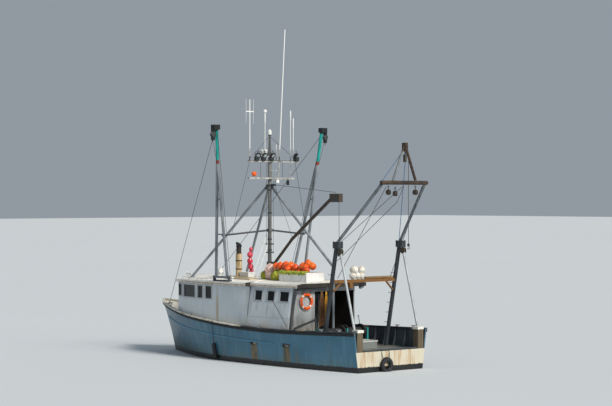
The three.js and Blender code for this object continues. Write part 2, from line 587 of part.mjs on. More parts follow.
// Gallows at the stern: posts, struts, cross beam and the leaning gantry above.
const postAt = (z) => 2080 - (z - DECK) * 0.193;
const gallowsPost = (sign, extra) => pipe([[postAt(DECK + 60), sign * POST_Y, DECK + GAP],
  [postAt(DECK + 60), sign * POST_Y, DECK + 60], [postAt(KNEE_Z), sign * POST_Y, KNEE_Z]], 85 + extra, 12);
const strut = (sign, extra) => pipe([[230, sign * POST_Y, 1560], [1130, sign * POST_Y, 4850]],
  50 + extra, 10);
for (const [side, sign] of [['port', 1], ['starboard', -1]]) {
  const foot = box([0, sign * POST_Y - 200, 1400], [500, sign * POST_Y + 200, 1660 + GAP]);
  place(`${side}_gallows_post`, cut(join(gallowsPost(sign, 0), strut(sign, 0),
    box([1040, sign * POST_Y - 110, KNEE_Z - 200], [1400, sign * POST_Y + 110, KNEE_Z + 60])),
  foot), DARK_STEEL);
}
const beamX = postAt(BEAM_Z);
place('gallows_beam', cut(join(
  box([beamX - 60, -1640, BEAM_Z - 60], [beamX + 60, 1640, BEAM_Z + 60]),
  pipe([[beamX, -1190, BEAM_Z - 30], [beamX + 40, -1600, BEAM_Z - 400]], 40, 8),
  pipe([[beamX, 1190, BEAM_Z - 30], [beamX + 40, 1600, BEAM_Z - 400]], 40, 8),
  box([beamX - 70, 640, BEAM_Z - 260], [beamX + 70, 800, BEAM_Z - 50]),
), gallowsPost(1, 0.4), gallowsPost(-1, 0.4), strut(1, 0.4), strut(-1, 0.4)), RUST);
place('beam_floats', join(
  ball(beamX, 520, BEAM_Z + 440, 180), ball(beamX, 590, BEAM_Z + 210, 145),
  ball(beamX, 120, BEAM_Z + 440, 160), ball(beamX, 140, BEAM_Z + 210, 145),
  ball(beamX, 360, BEAM_Z + 210, 140),
  box([beamX - 40, 100, BEAM_Z + 60 + GAP], [beamX + 40, 640, BEAM_Z + 200]),
), WHITE);
const poleEnd = (y) => [beamX, y, BEAM_Z + 110 + GAP];
place('spare_pole', pipe([poleEnd(-60), poleEnd(-1560)], 50, 8), WOOD);
const kneeTop = KNEE_Z + 60 + GAP;
const gantryLeg = (sign) => pipe([[postAt(KNEE_Z), sign * POST_Y, kneeTop - 60],
  [GANTRY_X, sign * 1130, GANTRY_Z]], 62, 10);
place('stern_gantry', cut(join(gantryLeg(1), gantryLeg(-1),
  pipe([[GANTRY_X, -1230, GANTRY_Z], [GANTRY_X, 1230, GANTRY_Z]], 80, 12),
  pipe([[GANTRY_X, -640, GANTRY_Z], [GANTRY_X - 40, 0, 8850]], 55, 10),
  pipe([[GANTRY_X, 640, GANTRY_Z], [GANTRY_X - 40, 0, 8850]], 45, 10),
  box([GANTRY_X - 140, -70, 8560], [GANTRY_X + 60, 70, 8900]),
), box([0, -3000, 4000], [3000, 3000, kneeTop])), STEEL);
place('gantry_block', join(
  box([GANTRY_X - 95, -45, 8150], [GANTRY_X + 15, 45, 8440]),
  pipe([[GANTRY_X - 40, 0, 8400], [GANTRY_X - 40, 0, 8560 - GAP]], 18, 8),
), RUST);

// Trawl winch behind the house.
const WINCH_X = 2850;
const WINCH_Z = 1330;
const cheek = (y) => box([WINCH_X - 330, y - 35, DECK + 90], [WINCH_X + 330, y + 35, WINCH_Z + 200]);
place('winch_frame', cut(join(
  box([WINCH_X - 380, -1150, DECK + GAP], [WINCH_X + 380, 1150, DECK + 100]),
  cheek(-1100), cheek(0), cheek(1100),
), pipe([[WINCH_X, -1300, WINCH_Z], [WINCH_X, 1300, WINCH_Z]], 66, 12)), TEAL);
for (const [side, sign] of [['port', 1], ['starboard', -1]]) {
  const turned = [[35.6, 85], [60, 85], [61, 340], [130, 340], [131, 190], [950, 190], [951, 340],
    [1020, 340], [1021, 58], [1220, 58]];
  place(`${side}_winch_drum`, pipe(turned.map(([y]) => [WINCH_X, sign * y, WINCH_Z]),
    turned.map(([, r]) => r), 16), DARK_STEEL);
}

// Fish hatch.
const HATCH_TOP = 1050;
place('hatch_coaming', cut(
  box([1300, -480, DECK + GAP], [2100, 480, HATCH_TOP]),
  box([1350, -430, DECK + 40], [2050, 430, HATCH_TOP + 100]),
), GREEN_GREY);
place('hatch_cover', box([1280, -500, HATCH_TOP + GAP], [2130, 500, HATCH_TOP + 60]), WHITE);

// Oilskins and spare lines hung in the cabin's opening, as one plain bundle.
place('hanging_oilskins', join(
  box([3500, 90, 1500], [3620, 330, ROOF_UNDER - GAP]),
  box([3500, 320, 1350], [3600, 610, ROOF_UNDER - GAP]),
), NET);

// Ring buoy on the after bulkhead and tyre fender on the transom.
{
  const ring = new THREE.TorusGeometry(280, 62, 8, 20);
  ring.rotateY(Math.PI / 2);
  place('life_ring', ring.translate(HOUSE_AFT - 62 - GAP, 1170, 2600), ORANGE);
  const tyre = new THREE.TorusGeometry(230, 85, 8, 18);
  tyre.rotateY(Math.PI / 2);
  place('tyre_fender', tyre.translate(-85 - GAP, 300, 240), RUBBER);
}

export default boat;
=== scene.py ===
from math import atan2, cos, pi, radians, sin, sqrt, tau

import bmesh
import bpy
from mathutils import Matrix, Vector, noise
from mathutils.bvhtree import BVHTree


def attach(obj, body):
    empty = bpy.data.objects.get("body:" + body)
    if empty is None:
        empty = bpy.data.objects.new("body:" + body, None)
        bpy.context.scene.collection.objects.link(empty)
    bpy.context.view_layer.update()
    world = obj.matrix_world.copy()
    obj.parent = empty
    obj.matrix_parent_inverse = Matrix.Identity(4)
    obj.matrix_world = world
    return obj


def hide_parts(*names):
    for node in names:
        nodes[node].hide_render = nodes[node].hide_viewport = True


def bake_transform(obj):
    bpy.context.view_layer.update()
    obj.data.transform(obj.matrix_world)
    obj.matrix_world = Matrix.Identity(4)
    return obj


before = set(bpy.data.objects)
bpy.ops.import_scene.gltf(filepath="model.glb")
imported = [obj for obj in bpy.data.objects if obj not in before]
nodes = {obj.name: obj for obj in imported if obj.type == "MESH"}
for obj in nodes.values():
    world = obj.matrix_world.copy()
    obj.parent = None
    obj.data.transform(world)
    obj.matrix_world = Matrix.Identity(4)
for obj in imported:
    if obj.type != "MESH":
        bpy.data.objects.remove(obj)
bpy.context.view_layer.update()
scene = bpy.context.scene
AHEAD, PORT, UP = (Vector(axis) for axis in ((1, 0, 0), (0, 1, 0), (0, 0, 1)))

# Camera, light and floor
CAMERA_AT = Vector((-61.08, 51.14, 6.8))
AIM = Vector((-1.93, 0.0, 6.55))
LENS = 112
SUN_FROM, SUN_ENERGY, SUN_SOFTNESS = Vector((-0.79, 0.03, 0.61)), 3.7, 14
SKY, SKY_STRENGTH = (0.60, 0.68, 0.76, 1), 0.47

camera = bpy.data.objects.new("camera", bpy.data.cameras.new("camera"))
camera.data.lens = LENS
camera.data.clip_end = 1000
camera.location = CAMERA_AT
camera.rotation_euler = (AIM - CAMERA_AT).to_track_quat("-Z", "Y").to_euler()
scene.collection.objects.link(camera)
scene.camera = camera
scene.view_settings.view_transform = "Standard"

world = bpy.data.worlds.new("studio")
world.use_nodes = True
world.node_tree.nodes["Background"].inputs["Color"].default_value = SKY
world.node_tree.nodes["Background"].inputs["Strength"].default_value = SKY_STRENGTH
scene.world = world

key = bpy.data.objects.new("key", bpy.data.lights.new("key", "SUN"))
key.data.energy = SUN_ENERGY
key.data.color = (1.0, 0.95, 0.87)
key.data.angle = radians(SUN_SOFTNESS)
key.rotation_euler = SUN_FROM.to_track_quat("Z", "Y").to_euler()
scene.collection.objects.link(key)


# Materials
def rgb(code, share=1):
    """Linear colour from a hexadecimal screen colour, or a darker share of it."""
    parts = [int(code[i:i + 2], 16) / 255 for i in (1, 3, 5)]
    return tuple(share * (c / 12.92 if c < 0.04 else ((c + 0.055) / 1.055) ** 2.4) for c in parts) + (1,)


class Look:
    """One procedural material, with short ways to add nodes to it."""

    def __init__(self, name, rough=0.5, metal=0.0, coat=0.0, alpha=1.0):
        self.material = bpy.data.materials.new(name)
        self.material.use_nodes = True
        self.tree = self.material.node_tree
        self.shader = self.tree.nodes["Principled BSDF"]
        self.shader.inputs["Roughness"].default_value = rough
        self.shader.inputs["Metallic"].default_value = metal
        self.shader.inputs["Coat Weight"].default_value = coat
        self.shader.inputs["Alpha"].default_value = alpha
        self.place = self.add("TexCoord").outputs["Object"]
        split = self.add("SeparateXYZ", {0: self.place})
        self.x, self.y, self.z = split.outputs

    def add(self, kind, values=None, **settings):
        node = self.tree.nodes.new("ShaderNode" + kind)
        for key_, value in settings.items():
            setattr(node, key_, value)
        for key_, value in (values or {}).items():
            if isinstance(value, bpy.types.NodeSocket):
                self.tree.links.new(value, node.inputs[key_])
            else:
                node.inputs[key_].default_value = value
        return node

    def math(self, operation, a, b=0.5, c=0.0):
        return self.add("Math", {0: a, 1: b, 2: c}, operation=operation).outputs[0]

    def step(self, value, low, high):
        """0 below low and 1 above high, or the reverse where low is the larger."""
        return self.add("MapRange", {
            "Value": value, "From Min": min(low, high), "From Max": max(low, high),
            "To Min": float(low > high), "To Max": float(low < high)}).outputs[0]

    def all_of(self, *masks):
        """Masks and shares multiplied together."""
        result = masks[0]
        for mask in masks[1:]:
            result = self.math("MULTIPLY", result, mask)
        return result

    def any_of(self, first, second):
        return self.math("MAXIMUM", first, second)

    def seams(self, along, shift, gap, width):
        """Mask of narrow lines two gaps apart."""
        return self.step(self.math("PINGPONG", self.math("ADD", along, shift), gap), width, 0.0)

    def noise(self, scale, stretch=1, detail=4):
        """Noise that one number draws out upright, or three numbers along the axes."""
        stretch = stretch if isinstance(stretch, tuple) else (1, 1, stretch)
        at = self.add("Mapping", {"Vector": self.place, "Scale": stretch}).outputs[0]
        return self.add("TexNoise", {"Vector": at, "Scale": scale, "Detail": detail}).outputs["Fac"]

    def mix(self, share, first, second):
        node = self.add("Mix", {0: share, 6: first, 7: second}, data_type="RGBA")
        return node.outputs[2]

    def patches(self, low, high, *grain, **more):
        """Noise cut to a mask."""
        return self.step(self.noise(*grain, **more), low, high)

    def cloud(self, first, second, low, high, *grain, **more):
        """Two colours in patches of noise."""
        return self.mix(self.patches(low, high, *grain, **more), rgb(first), rgb(second))

    def between(self, low, high, *grain, **more):
        """Noise as a value between two others."""
        return self.add("MapRange", {"Value": self.noise(*grain, **more),
                                     "To Min": low, "To Max": high}).outputs[0]

    def over(self, tone, mask, colour, share=None):
        """Lays a colour over a tone where the mask says, as strongly as share."""
        return self.mix(mask if share is None else self.math("MULTIPLY", mask, share), tone, rgb(colour))

    def normal(self):
        split = self.add("SeparateXYZ", {0: self.add("NewGeometry").outputs["Normal"]})
        return split.outputs

    def paint(self, colour, rough=None, height=None, strength=0.3, distance=0.01):
        self.tree.links.new(colour, self.shader.inputs["Base Color"])
        if rough is not None:
            self.tree.links.new(rough, self.shader.inputs["Roughness"])
        if height is not None:
            bump = self.add("Bump", {"Height": height, "Strength": strength, "Distance": distance})
            self.tree.links.new(bump.outputs[0], self.shader.inputs["Normal"])
        return self.material

    def skin(self, colour, grain, strength, distance):
        """Paint with a fine bumpy skin of noise."""
        return self.paint(colour, None, self.noise(grain), strength, distance)


def weathered(name, colour, stain, amount=0.5, grain=6.0, drips=True, rough=0.5, metal=0.0,
              coat=0.0, bump=0.25, spread=0.12):
    """A plain finish with uneven tone, stains that run down it, and a fine bumpy skin."""
    look = Look(name, rough, metal, coat)
    cloudy = look.patches(0.35, 0.7, 1.3)
    base = look.mix(look.all_of(cloudy, spread * 3), rgb(colour), rgb(colour, 0.62))
    patch = look.patches(0.52, 0.78, grain, 0.12 if drips else 1, 6)
    base = look.over(base, patch, stain, amount)
    fine = look.noise(grain * 9, detail=3)
    gloss = look.between(max(rough - 0.15, 0.05), min(rough + 0.2, 1.0), grain * 2)
    return look.paint(base, gloss, fine, bump, 0.006)


def near(look, value, centre, half, soft):
    """1 within half of the centre, falling to 0 over the soft distance."""
    away = look.math("ABSOLUTE", look.math("SUBTRACT", value, centre))
    return look.step(away, half + soft, half)


BOOT_TOP = 0.2
SCUPPER_STEP, FIRST_SCUPPER, SCUPPER_Z = 2.0, -1.2, 0.85
PARTITION_X, WALL_FOOT, EAVES, STARBOARD_CABIN_Y = -0.6, 1.53, 3.15, 1.5


def below_scuppers(look, half, soft):
    """Mask of the strips of hull under the two scuppers on each side."""
    frayed = look.math("MULTIPLY_ADD", look.noise(14, 0.15, 5), 0.1, -0.05 - FIRST_SCUPPER)
    turn = look.math("PINGPONG", look.math("ADD", look.x, frayed), SCUPPER_STEP / 2)
    strip = look.step(turn, half + soft, half)
    return look.all_of(strip, look.step(look.x, -0.6, -0.7), look.step(look.x, -4.2, -4.1))


def hull_paint(name, bulwark):
    """Blue topsides over a black boot top, with seams, rust below the scuppers and a cream transom."""
    look = Look(name, 0.42, coat=0.15)
    nx, ny, nz = look.normal()
    wide = look.noise(0.5, detail=3)
    runs = look.noise(5, 0.1, 5)
    blue = look.mix(look.step(wide, 0.35, 0.68), rgb("#417a93"), rgb("#29657f"))
    blue = look.over(blue, look.step(look.x, -1.0, 6.0), "#25546a", 0.75)
    blue = look.over(blue, look.step(runs, 0.5, 0.75), "#8fb1bb", 0.22)
    seam = look.seams(look.x, 0.35, 0.56, 0.012)
    plate = look.seams(look.z, 0.02, 0.41, 0.008)
    lines = look.any_of(seam, look.all_of(plate, 0.6))
    blue = look.over(blue, lines, "#274c5e", 0.4)
    ragged = look.between(-0.05, 0.05, 9, 0.1, 5)
    rust = look.all_of(below_scuppers(look, 0.17, 0.04), look.step(look.z, 0.9, 0.84),
                       look.step(runs, 0.15, 0.42))
    weep = look.all_of(look.patches(0.6, 0.72, 2.2, 0.05, 6), look.step(look.z, 1.4, 0.3))
    rust = look.any_of(rust, look.all_of(weep, 0.55))
    brown = look.cloud("#83662f", "#3d4233", 0.4, 0.62, 10, 0.1, 6)
    blue = look.mix(look.all_of(rust, 0.92), blue, brown)
    # The scupper openings are painted near-black: painted shade standing in for the holes.
    scupper_hole_shade = look.all_of(below_scuppers(look, 0.185, 0.005), near(look, look.z, SCUPPER_Z, 0.05, 0.006))
    scum = look.all_of(look.step(look.z, 0.55, 0.2), look.patches(0.35, 0.65, 3, 0.4))
    blue = look.over(blue, scum, "#6d7058", 0.5)
    shade = look.all_of(look.step(look.z, 0.75, 0.25), look.step(look.x, 0.5, 5.5))
    blue = look.over(blue, shade, "#33483f", 0.7)
    blue = look.over(blue, scupper_hole_shade, "#0d0e0e")
    if bulwark:
        inward = look.step(look.all_of(ny, look.math("SIGN", look.y)), 0.2, -0.2)
        grey = look.cloud("#4a525c", "#353b44", 0.4, 0.7, 4, 0.3)
        white = look.cloud("#e6e4dc", "#b3a78c", 0.5, 0.8, 5, 0.2)
        inside = look.mix(look.step(look.x, 4.6, 4.8), grey, white)
        colour = look.mix(inward, blue, inside)
        colour = look.mix(look.step(nz, 0.7, 0.8), colour, white)
    else:
        aft = look.all_of(look.step(nx, -0.8, -0.9), look.step(look.x, -6.95, -6.97))
        stains = look.patches(0.5, 0.72, 6, 0.12, 6)
        cream = look.mix(look.all_of(stains, 0.75), rgb("#c6c0ad"), rgb("#a5783a"))
        colour = look.mix(aft, blue, cream)
        boot = look.step(look.math("ADD", look.z, ragged), BOOT_TOP + 0.03, BOOT_TOP)
        black = look.cloud("#0b0d0f", "#15191b", 0.4, 0.7, 4)
        colour = look.mix(boot, colour, black)
        planks = look.step(look.math("PINGPONG", look.y, 0.07), 0.006, 0.0)
        deck = look.cloud("#7b7f7c", "#5d5648", 0.42, 0.68, 3, (0.3, 1, 1), 6)
        deck = look.over(deck, planks, "#2c2b28", 0.8)
        colour = look.mix(look.step(nz, 0.7, 0.8), colour, deck)
    height = look.math("SUBTRACT", look.noise(1.6, detail=2), look.all_of(lines, 0.35))
    gloss = look.between(0.3, 0.6, 3)
    return look.paint(colour, gloss, height, 0.5, 0.03)


def house_white():
    """White paint with sheet seams, rust runs and a yellow tide of dirt along the foot."""
    look = Look("house_white", 0.45, coat=0.1)
    tone = look.cloud("#cad1d6", "#b2bdc5", 0.35, 0.7, 0.8)
    runs = look.patches(0.58, 0.76, 6, 0.08, 6)
    tone = look.over(tone, runs, "#9b9178", 0.35)
    streak = look.all_of(near(look, look.x, 1.3, 0.03, 0.1), look.step(look.z, 3.3, 2.3),
                         look.step(look.z, 1.5, 1.8))
    foot = look.all_of(look.step(look.z, 2.0, 1.45), look.patches(0.35, 0.62, 1.1, 0.5))
    tone = look.over(tone, streak, "#a08347", 0.7)
    tone = look.over(tone, foot, "#b79f78", 0.55)
    sheet = look.seams(look.x, 0.1, 1.22, 0.007)
    tone = look.over(tone, sheet, "#83898c", 0.4)
    chips = look.patches(0.68, 0.74, 22, detail=6)
    tone = look.over(tone, chips, "#7d6a50", 0.5)
    nx, ny, _ = look.normal()
    # The after face of the aft bulkhead is greyed as painted shade, with dirt smears laid over it; on the
    # floats the same name is grime.
    grime_and_painted_shade = look.all_of(look.step(nx, -0.7, -0.9), look.step(look.x, -3.2, -3.24))
    smears = look.patches(0.48, 0.64, 4, 0.3, 6)
    # The aft-facing step on the port side where the wheelhouse meets the aft house is darkened: painted
    # shade, with stains.
    stained_step_shade = look.all_of(look.step(nx, -0.7, -0.9), look.step(look.x, -2.9, -2.8), look.step(look.x, 2.0, 1.9),
                      look.step(look.y, 0.0, 0.1))
    tone = look.over(tone, stained_step_shade, "#4f5a62", 0.75)
    tone = look.over(tone, grime_and_painted_shade, "#828380", 0.55)
    tone = look.over(tone, look.all_of(grime_and_painted_shade, smears), "#4d4a45", 0.6)
    # Inner faces of the house walls, the front wall, the aft bulkhead and the partition are painted
    # near-black: painted shade for the dark inside.
    inward = look.step(look.all_of(ny, look.math("SIGN", look.y)), -0.2, -0.4)
    fore = look.all_of(look.step(nx, -0.2, -0.4), look.step(look.x, 4.5, 4.6))
    aft = look.all_of(look.step(nx, 0.4, 0.6), look.step(look.x, -3.05, -3.15))
    lean = look.all_of(look.step(look.z, WALL_FOOT, EAVES), 0.27)
    span = look.math("ADD", look.math("ABSOLUTE", look.y), lean)
    outer_strip = look.all_of(look.step(nx, -0.5, -0.7),
                              look.step(look.y, 0.02 - STARBOARD_CABIN_Y, -STARBOARD_CABIN_Y))
    middle = look.all_of(near(look, look.x, PARTITION_X, 0.06, 0.01), look.step(span, 2.09, 2.07),
                         look.math("SUBTRACT", 1.0, outer_strip))
    inside = look.any_of(look.any_of(inward, middle), look.any_of(fore, aft))
    dark = look.cloud("#2f2b26", "#1c1a18", 0.4, 0.7, 3, 0.2)
    tone = look.mix(inside, tone, dark)
    height = look.math("SUBTRACT", look.noise(2.2, detail=3), look.all_of(sheet, 0.3))
    return look.paint(tone, None, height, 0.35, 0.02)


def rig_steel(name, tip):
    """Galvanised tube, grey with white bloom and rust; the outriggers' upper ends are teal."""
    look = Look(name, 0.5, 0.35)
    grey = look.cloud("#90989e", "#6a727a", 0.38, 0.68, 3, 0.4)
    grey = look.over(grey, look.patches(0.6, 0.72, 9, 0.15, 6), "#7c5c3e", 0.6)
    if tip:
        teal = look.cloud("#1fa59b", "#177d7a", 0.45, 0.75, 8, 0.3)
        grey = look.over(grey, look.step(look.z, 8.14, 8.18), "#8c3a2c")
        grey = look.mix(look.step(look.z, 8.3, 8.32), grey, teal)
        block = look.step(look.math("ABSOLUTE", look.y), 2.96, 2.98)
        grey = look.over(grey, look.any_of(look.step(look.z, 9.5, 9.53), block), "#23282a")
    return look.skin(grey, 40, 0.2, 0.004)


def mast_steel():
    """Dull tube, darker at the collar and above the lower crosstree."""
    look = Look("mast_steel", 0.5, 0.2)
    grey = look.cloud("#7d7e7b", "#585754", 0.4, 0.65, 2, 0.3)
    dark = look.patches(0.55, 0.7, 5, 0.1, 6)
    grey = look.over(grey, dark, "#4b4740", 0.6)
    bands = look.any_of(near(look, look.z, 7.18, 0.1, 0.02), look.step(look.z, 8.2, 8.3))
    grey = look.over(grey, bands, "#3d4140", 0.6)
    return look.skin(grey, 30, 0.2, 0.004)


def timber(name, colour, dark, axis_stretch, tip=None):
    """Grey weathered wood with long grain and cracks, and a painted top where tip is given."""
    look = Look(name, 0.85)
    grain = look.noise(16, axis_stretch, 8)
    wood = look.mix(look.step(grain, 0.35, 0.65), rgb(colour), rgb(dark))
    crack = look.patches(0.68, 0.72, 9, axis_stretch, 4)
    wood = look.over(wood, crack, "#2a241c")
    if tip is not None:
        white = look.cloud("#dcdcd4", "#a39c88", 0.5, 0.75, 8)
        wood = look.mix(look.step(look.z, tip, tip + 0.01), wood, white)
    return look.paint(wood, None, grain, 0.6, 0.01)


def stack_paint():
    """Cream lagging with a sooty top."""
    look = Look("stack_paint", 0.6)
    cream = look.cloud("#cbb68f", "#8d7148", 0.45, 0.7, 6, 0.2, 5)
    soot = look.cloud("#15120f", "#3c2c20", 0.4, 0.7, 7)
    cream = look.mix(look.step(look.z, 4.39, 4.43), cream, soot)
    return look.skin(cream, 30, 0.3, 0.006)


def crosstree_paint():
    """White-grey bars; the ball that hangs on the lower one is orange and the lamps' boxes dark."""
    look = Look("crosstree_paint", 0.5, 0.1)
    grey = look.cloud("#b7b8b4", "#6f6b62", 0.4, 0.7, 7)
    ball = look.all_of(near(look, look.y, 0.96, 0.11, 0.005), near(look, look.z, 7.76, 0.108, 0.005))
    grey = look.over(grey, look.step(look.z, 8.75, 8.85), "#e6e7e4")
    grey = look.over(grey, look.all_of(near(look, look.z, 8.4, 0.09, 0.01), look.step(look.x, 0.3, 0.28)),
                     "#2a2c2d")
    grey = look.over(grey, ball, "#f2600f")
    return look.skin(grey, 25, 0.2, 0.004)


def cap_paint():
    """White rail cap along the fore part that turns worn black beside the aft house."""
    look = Look("cap_paint", 0.6)
    white = look.cloud("#dedbd0", "#978a70", 0.45, 0.7, 7)
    worn = look.patches(0.6, 0.68, 4, (0.4, 1, 1), 5)
    dark = look.over(look.cloud("#23272b", "#3c4043", 0.4, 0.7, 5), worn, "#b39a72")
    edge = look.math("ADD", look.x, look.all_of(look.noise(2), 1.2))
    return look.skin(look.mix(look.step(edge, 0.6, 0.1), white, dark), 30, 0.25, 0.006)


def roof_paint():
    """Bright roof with rust along its lower edges, and painted shade on its underside and aft fascia."""
    look = Look("roof_paint", 0.55)
    white = look.cloud("#eeece6", "#d6d3ca", 0.4, 0.7, 1.5)
    white = look.over(white, look.patches(0.58, 0.75, 5, detail=6), "#a99b80", 0.5)
    edge = look.all_of(look.step(look.z, 3.25, 3.17), look.patches(0.42, 0.6, 6, 0.3, 6))
    white = look.over(white, edge, "#8f6a45", 0.6)
    nx, _, nz = look.normal()
    # The aft-facing fascia and the underside are painted near-black as painted shade.
    fascia = look.all_of(look.step(nx, -0.5, -0.7), near(look, look.z, 3.2, 0.12, 0.02))
    underside_shade = look.any_of(look.step(nz, -0.5, -0.7), fascia)
    dark = look.cloud("#34302b", "#221f1c", 0.4, 0.7, 4)
    return look.skin(look.mix(underside_shade, white, dark), 12, 0.3, 0.008)


def gallows_paint():
    """Dark posts and knees with a pale galvanised strut behind them."""
    look = Look("gallows_paint", 0.55, 0.25)
    dark = look.cloud("#3a4147", "#2b2e31", 0.4, 0.7, 6, 0.3)
    rust = look.patches(0.6, 0.74, 8, 0.2, 6)
    dark = look.over(dark, rust, "#6b4a30", 0.6)
    pale = look.cloud("#b4b9bc", "#858a8c", 0.42, 0.72, 7, 0.25)
    middle = look.math("MULTIPLY_ADD", look.z, 0.04, -5.99)
    strut = look.all_of(look.step(look.math("SUBTRACT", look.x, middle), 0.0, -0.02),
                        look.step(look.z, 4.78, 4.76))
    return look.skin(look.mix(strut, dark, pale), 35, 0.25, 0.005)


def gantry_paint():
    """Grey legs, a dark crossbar and starboard upper leg, and a rusty cap at the apex."""
    look = Look("gantry_paint", 0.55, 0.25)
    grey = look.cloud("#7b8489", "#565d61", 0.4, 0.7, 6, 0.3)
    grey = look.over(grey, look.patches(0.58, 0.72, 8, 0.2, 6), "#6e4f36", 0.6)
    dark = look.cloud("#332c26", "#5a4632", 0.42, 0.7, 9, (1, 0.3, 1), 6)
    upper = look.all_of(look.step(look.z, 7.44, 7.46), look.step(look.y, 0.02, -0.02))
    worn = look.any_of(upper, look.step(look.z, 8.55, 8.56))
    worn = look.any_of(near(look, look.z, 7.35, 0.085, 0.005), worn)
    return look.skin(look.mix(worn, grey, dark), 35, 0.25, 0.005)


def float_plastic(name, colour, shade, faded):
    """Moulded floats with faded and darker patches and some grime."""
    look = Look(name, 0.38, coat=0.25)
    tone = look.cloud(colour, shade, 0.35, 0.7, 7)
    tone = look.over(tone, look.patches(0.5, 0.62, 2.3, detail=1), faded, 0.42)
    tone = look.over(tone, look.patches(0.46, 0.36, 3.1, detail=1), shade, 0.6)
    grime_and_painted_shade = look.patches(0.6, 0.75, 14, detail=6)
    tone = look.over(tone, grime_and_painted_shade, "#6e4a2f", 0.5)
    return look.skin(tone, 60, 0.15, 0.004)


def net_look(name, colour, second, hole_shade=0.48):
    """Twine in two colours round holes that are darkened as painted shade."""
    look = Look(name, 0.9)
    tone = look.cloud(colour, second, 0.42, 0.6, 9, detail=5)
    mesh = look.add("TexVoronoi", {"Vector": look.place, "Scale": 24}, feature="DISTANCE_TO_EDGE")
    gap = look.step(mesh.outputs[0], 0.04, 0.14)
    # The gaps between twines get a darkened copy of the twine colour: painted shade for the depth of the
    # heap.
    tone = look.mix(look.all_of(gap, hole_shade), tone, rgb(second, 0.25))
    return look.paint(tone, None, look.math("MULTIPLY_ADD", gap, -1, look.noise(120)), 0.6, 0.008)


HULL = hull_paint("hull_paint", False)
BULWARK = hull_paint("bulwark_paint", True)
HOUSE = house_white()
ROOF = roof_paint()
CAP = cap_paint()
GALLOWS = gallows_paint()
BLACK = weathered("black_rubber", "#1d2024", "#4c5156", 0.5, 8, False, 0.75, bump=0.5)
KEEL = weathered("keel_black", "#17191b", "#3f3a33", 0.5, 5, False, 0.8)
BRONZE = weathered("bronze", "#b08a4e", "#5f6b4a", 0.5, 8, False, 0.35, 0.9)
GREY_DECK = weathered("deck_grey", "#7d8482", "#5f5443", 0.6, 6, False, 0.75, bump=0.5)
DARK = weathered("dark_paint", "#3f464d", "#6b4a30", 0.45, 8, True, 0.6, 0.2)
BOOM = weathered("boom_brown", "#4c443a", "#26221f", 0.7, 6, True, 0.65, 0.2)
STEEL = rig_steel("rig_steel", False)
OUTRIGGER = rig_steel("outrigger_steel", True)
MAST = mast_steel()
TREE = crosstree_paint()
RIB = weathered("rib_paint", "#3a414a", "#574e40", 0.4, 7, True, 0.6)
RUST = weathered("rusty_beam", "#7f582e", "#4d3a2a", 0.8, 9, False, 0.85, 0.1, bump=0.6)
GANTRY = gantry_paint()
TEAL = weathered("teal_paint", "#1f8f8b", "#5b4a35", 0.5, 8, True, 0.55)
POST = timber("post_wood", "#695e4a", "#4c4234", 0.08, 1.55)
POLE = timber("pole_wood", "#a1845c", "#6b5438", (1, 0.08, 1))
BOARD = weathered("cream_board", "#cdbb98", "#8d7a58", 0.5, 8, False, 0.7)
STACK = stack_paint()
ORANGE = float_plastic("orange_float", "#f2600f", "#cf4408", "#ff9a3a")
PINK = float_plastic("pink_float", "#d9304a", "#a62036", "#ea6a7c")
WHITE_FLOAT = float_plastic("white_float", "#e2dfd6", "#b5aea0", "#f2efe8")
NET_GREEN = net_look("net_green", "#8cab3c", "#ccb742")
NET_LIME = net_look("net_lime", "#d8d44c", "#84a53e")
SACK = net_look("sack_weave", "#ead0c4", "#c99f95", 0.14)
WHITE_TRIM = weathered("white_trim", "#e0e2e1", "#9c927c", 0.4, 9, True, 0.5)
DOOR = weathered("door_paint", "#c5ccd0", "#7f7a6c", 0.5, 5, True, 0.5, spread=0.06)
HATCH = weathered("hatch_paint", "#b9bcb8", "#6f6657", 0.6, 4, False, 0.65, spread=0.08)
GEAR_WHITE = weathered("gear_box_white", "#f5f4f0", "#b3a78e", 0.25, 6, True, 0.5, spread=0.03)
WIRE = weathered("wire_rope", "#4a4d50", "#6a5240", 0.5, 30, False, 0.5, 0.6)
BLUE_ROPE = weathered("blue_rope", "#2f6a9c", "#6f8796", 0.5, 30, False, 0.85)
LAMP_BODY = weathered("lamp_black", "#1f2226", "#5a4636", 0.4, 12, False, 0.5, 0.3)
ALUMINIUM = weathered("aluminium", "#b9bdbf", "#7e8183", 0.4, 12, False, 0.4, 0.6)
OILSKIN = weathered("oilskin", "#c9962e", "#7c5a22", 0.5, 7, False, 0.4, bump=0.4)
OILSKIN_BROWN = weathered("oilskin_brown", "#6b4a2b", "#3b2a1c", 0.5, 7, False, 0.45, bump=0.4)
STRAKE = weathered("strake_blue", "#4a86a3", "#2b5f79", 0.5, 9, True, 0.45)
PANEL = weathered("worn_panel", "#c3ccd2", "#7f7a6c", 0.6, 5, True, 0.6)
RUST_TRIM = weathered("rusty_drip", "#b9a78c", "#7c4f2c", 0.8, 7, True, 0.75)
CONSOLE = timber("console_wood", "#8a6238", "#5b3d22", (0.2, 1, 1))

GLASS = Look("window_glass", 0.2, alpha=0.94)
GLASS.shader.inputs["Specular IOR Level"].default_value = 0.25
GLASS = GLASS.skin(GLASS.cloud("#0c0f12", "#161b20", 0.4, 0.7, 1.5), 2, 0.05, 0.01)
LENS_GLASS = Look("lamp_glass", 0.1, coat=0.6)
LENS_GLASS = LENS_GLASS.skin(LENS_GLASS.cloud("#8e9aa1", "#c3ccd0", 0.4, 0.7, 9), 50, 0.2, 0.004)


def pair(*names):
    """Names of the port and starboard nodes."""
    return [f"{side}_{name}" for name in names for side in ("port", "starboard")]


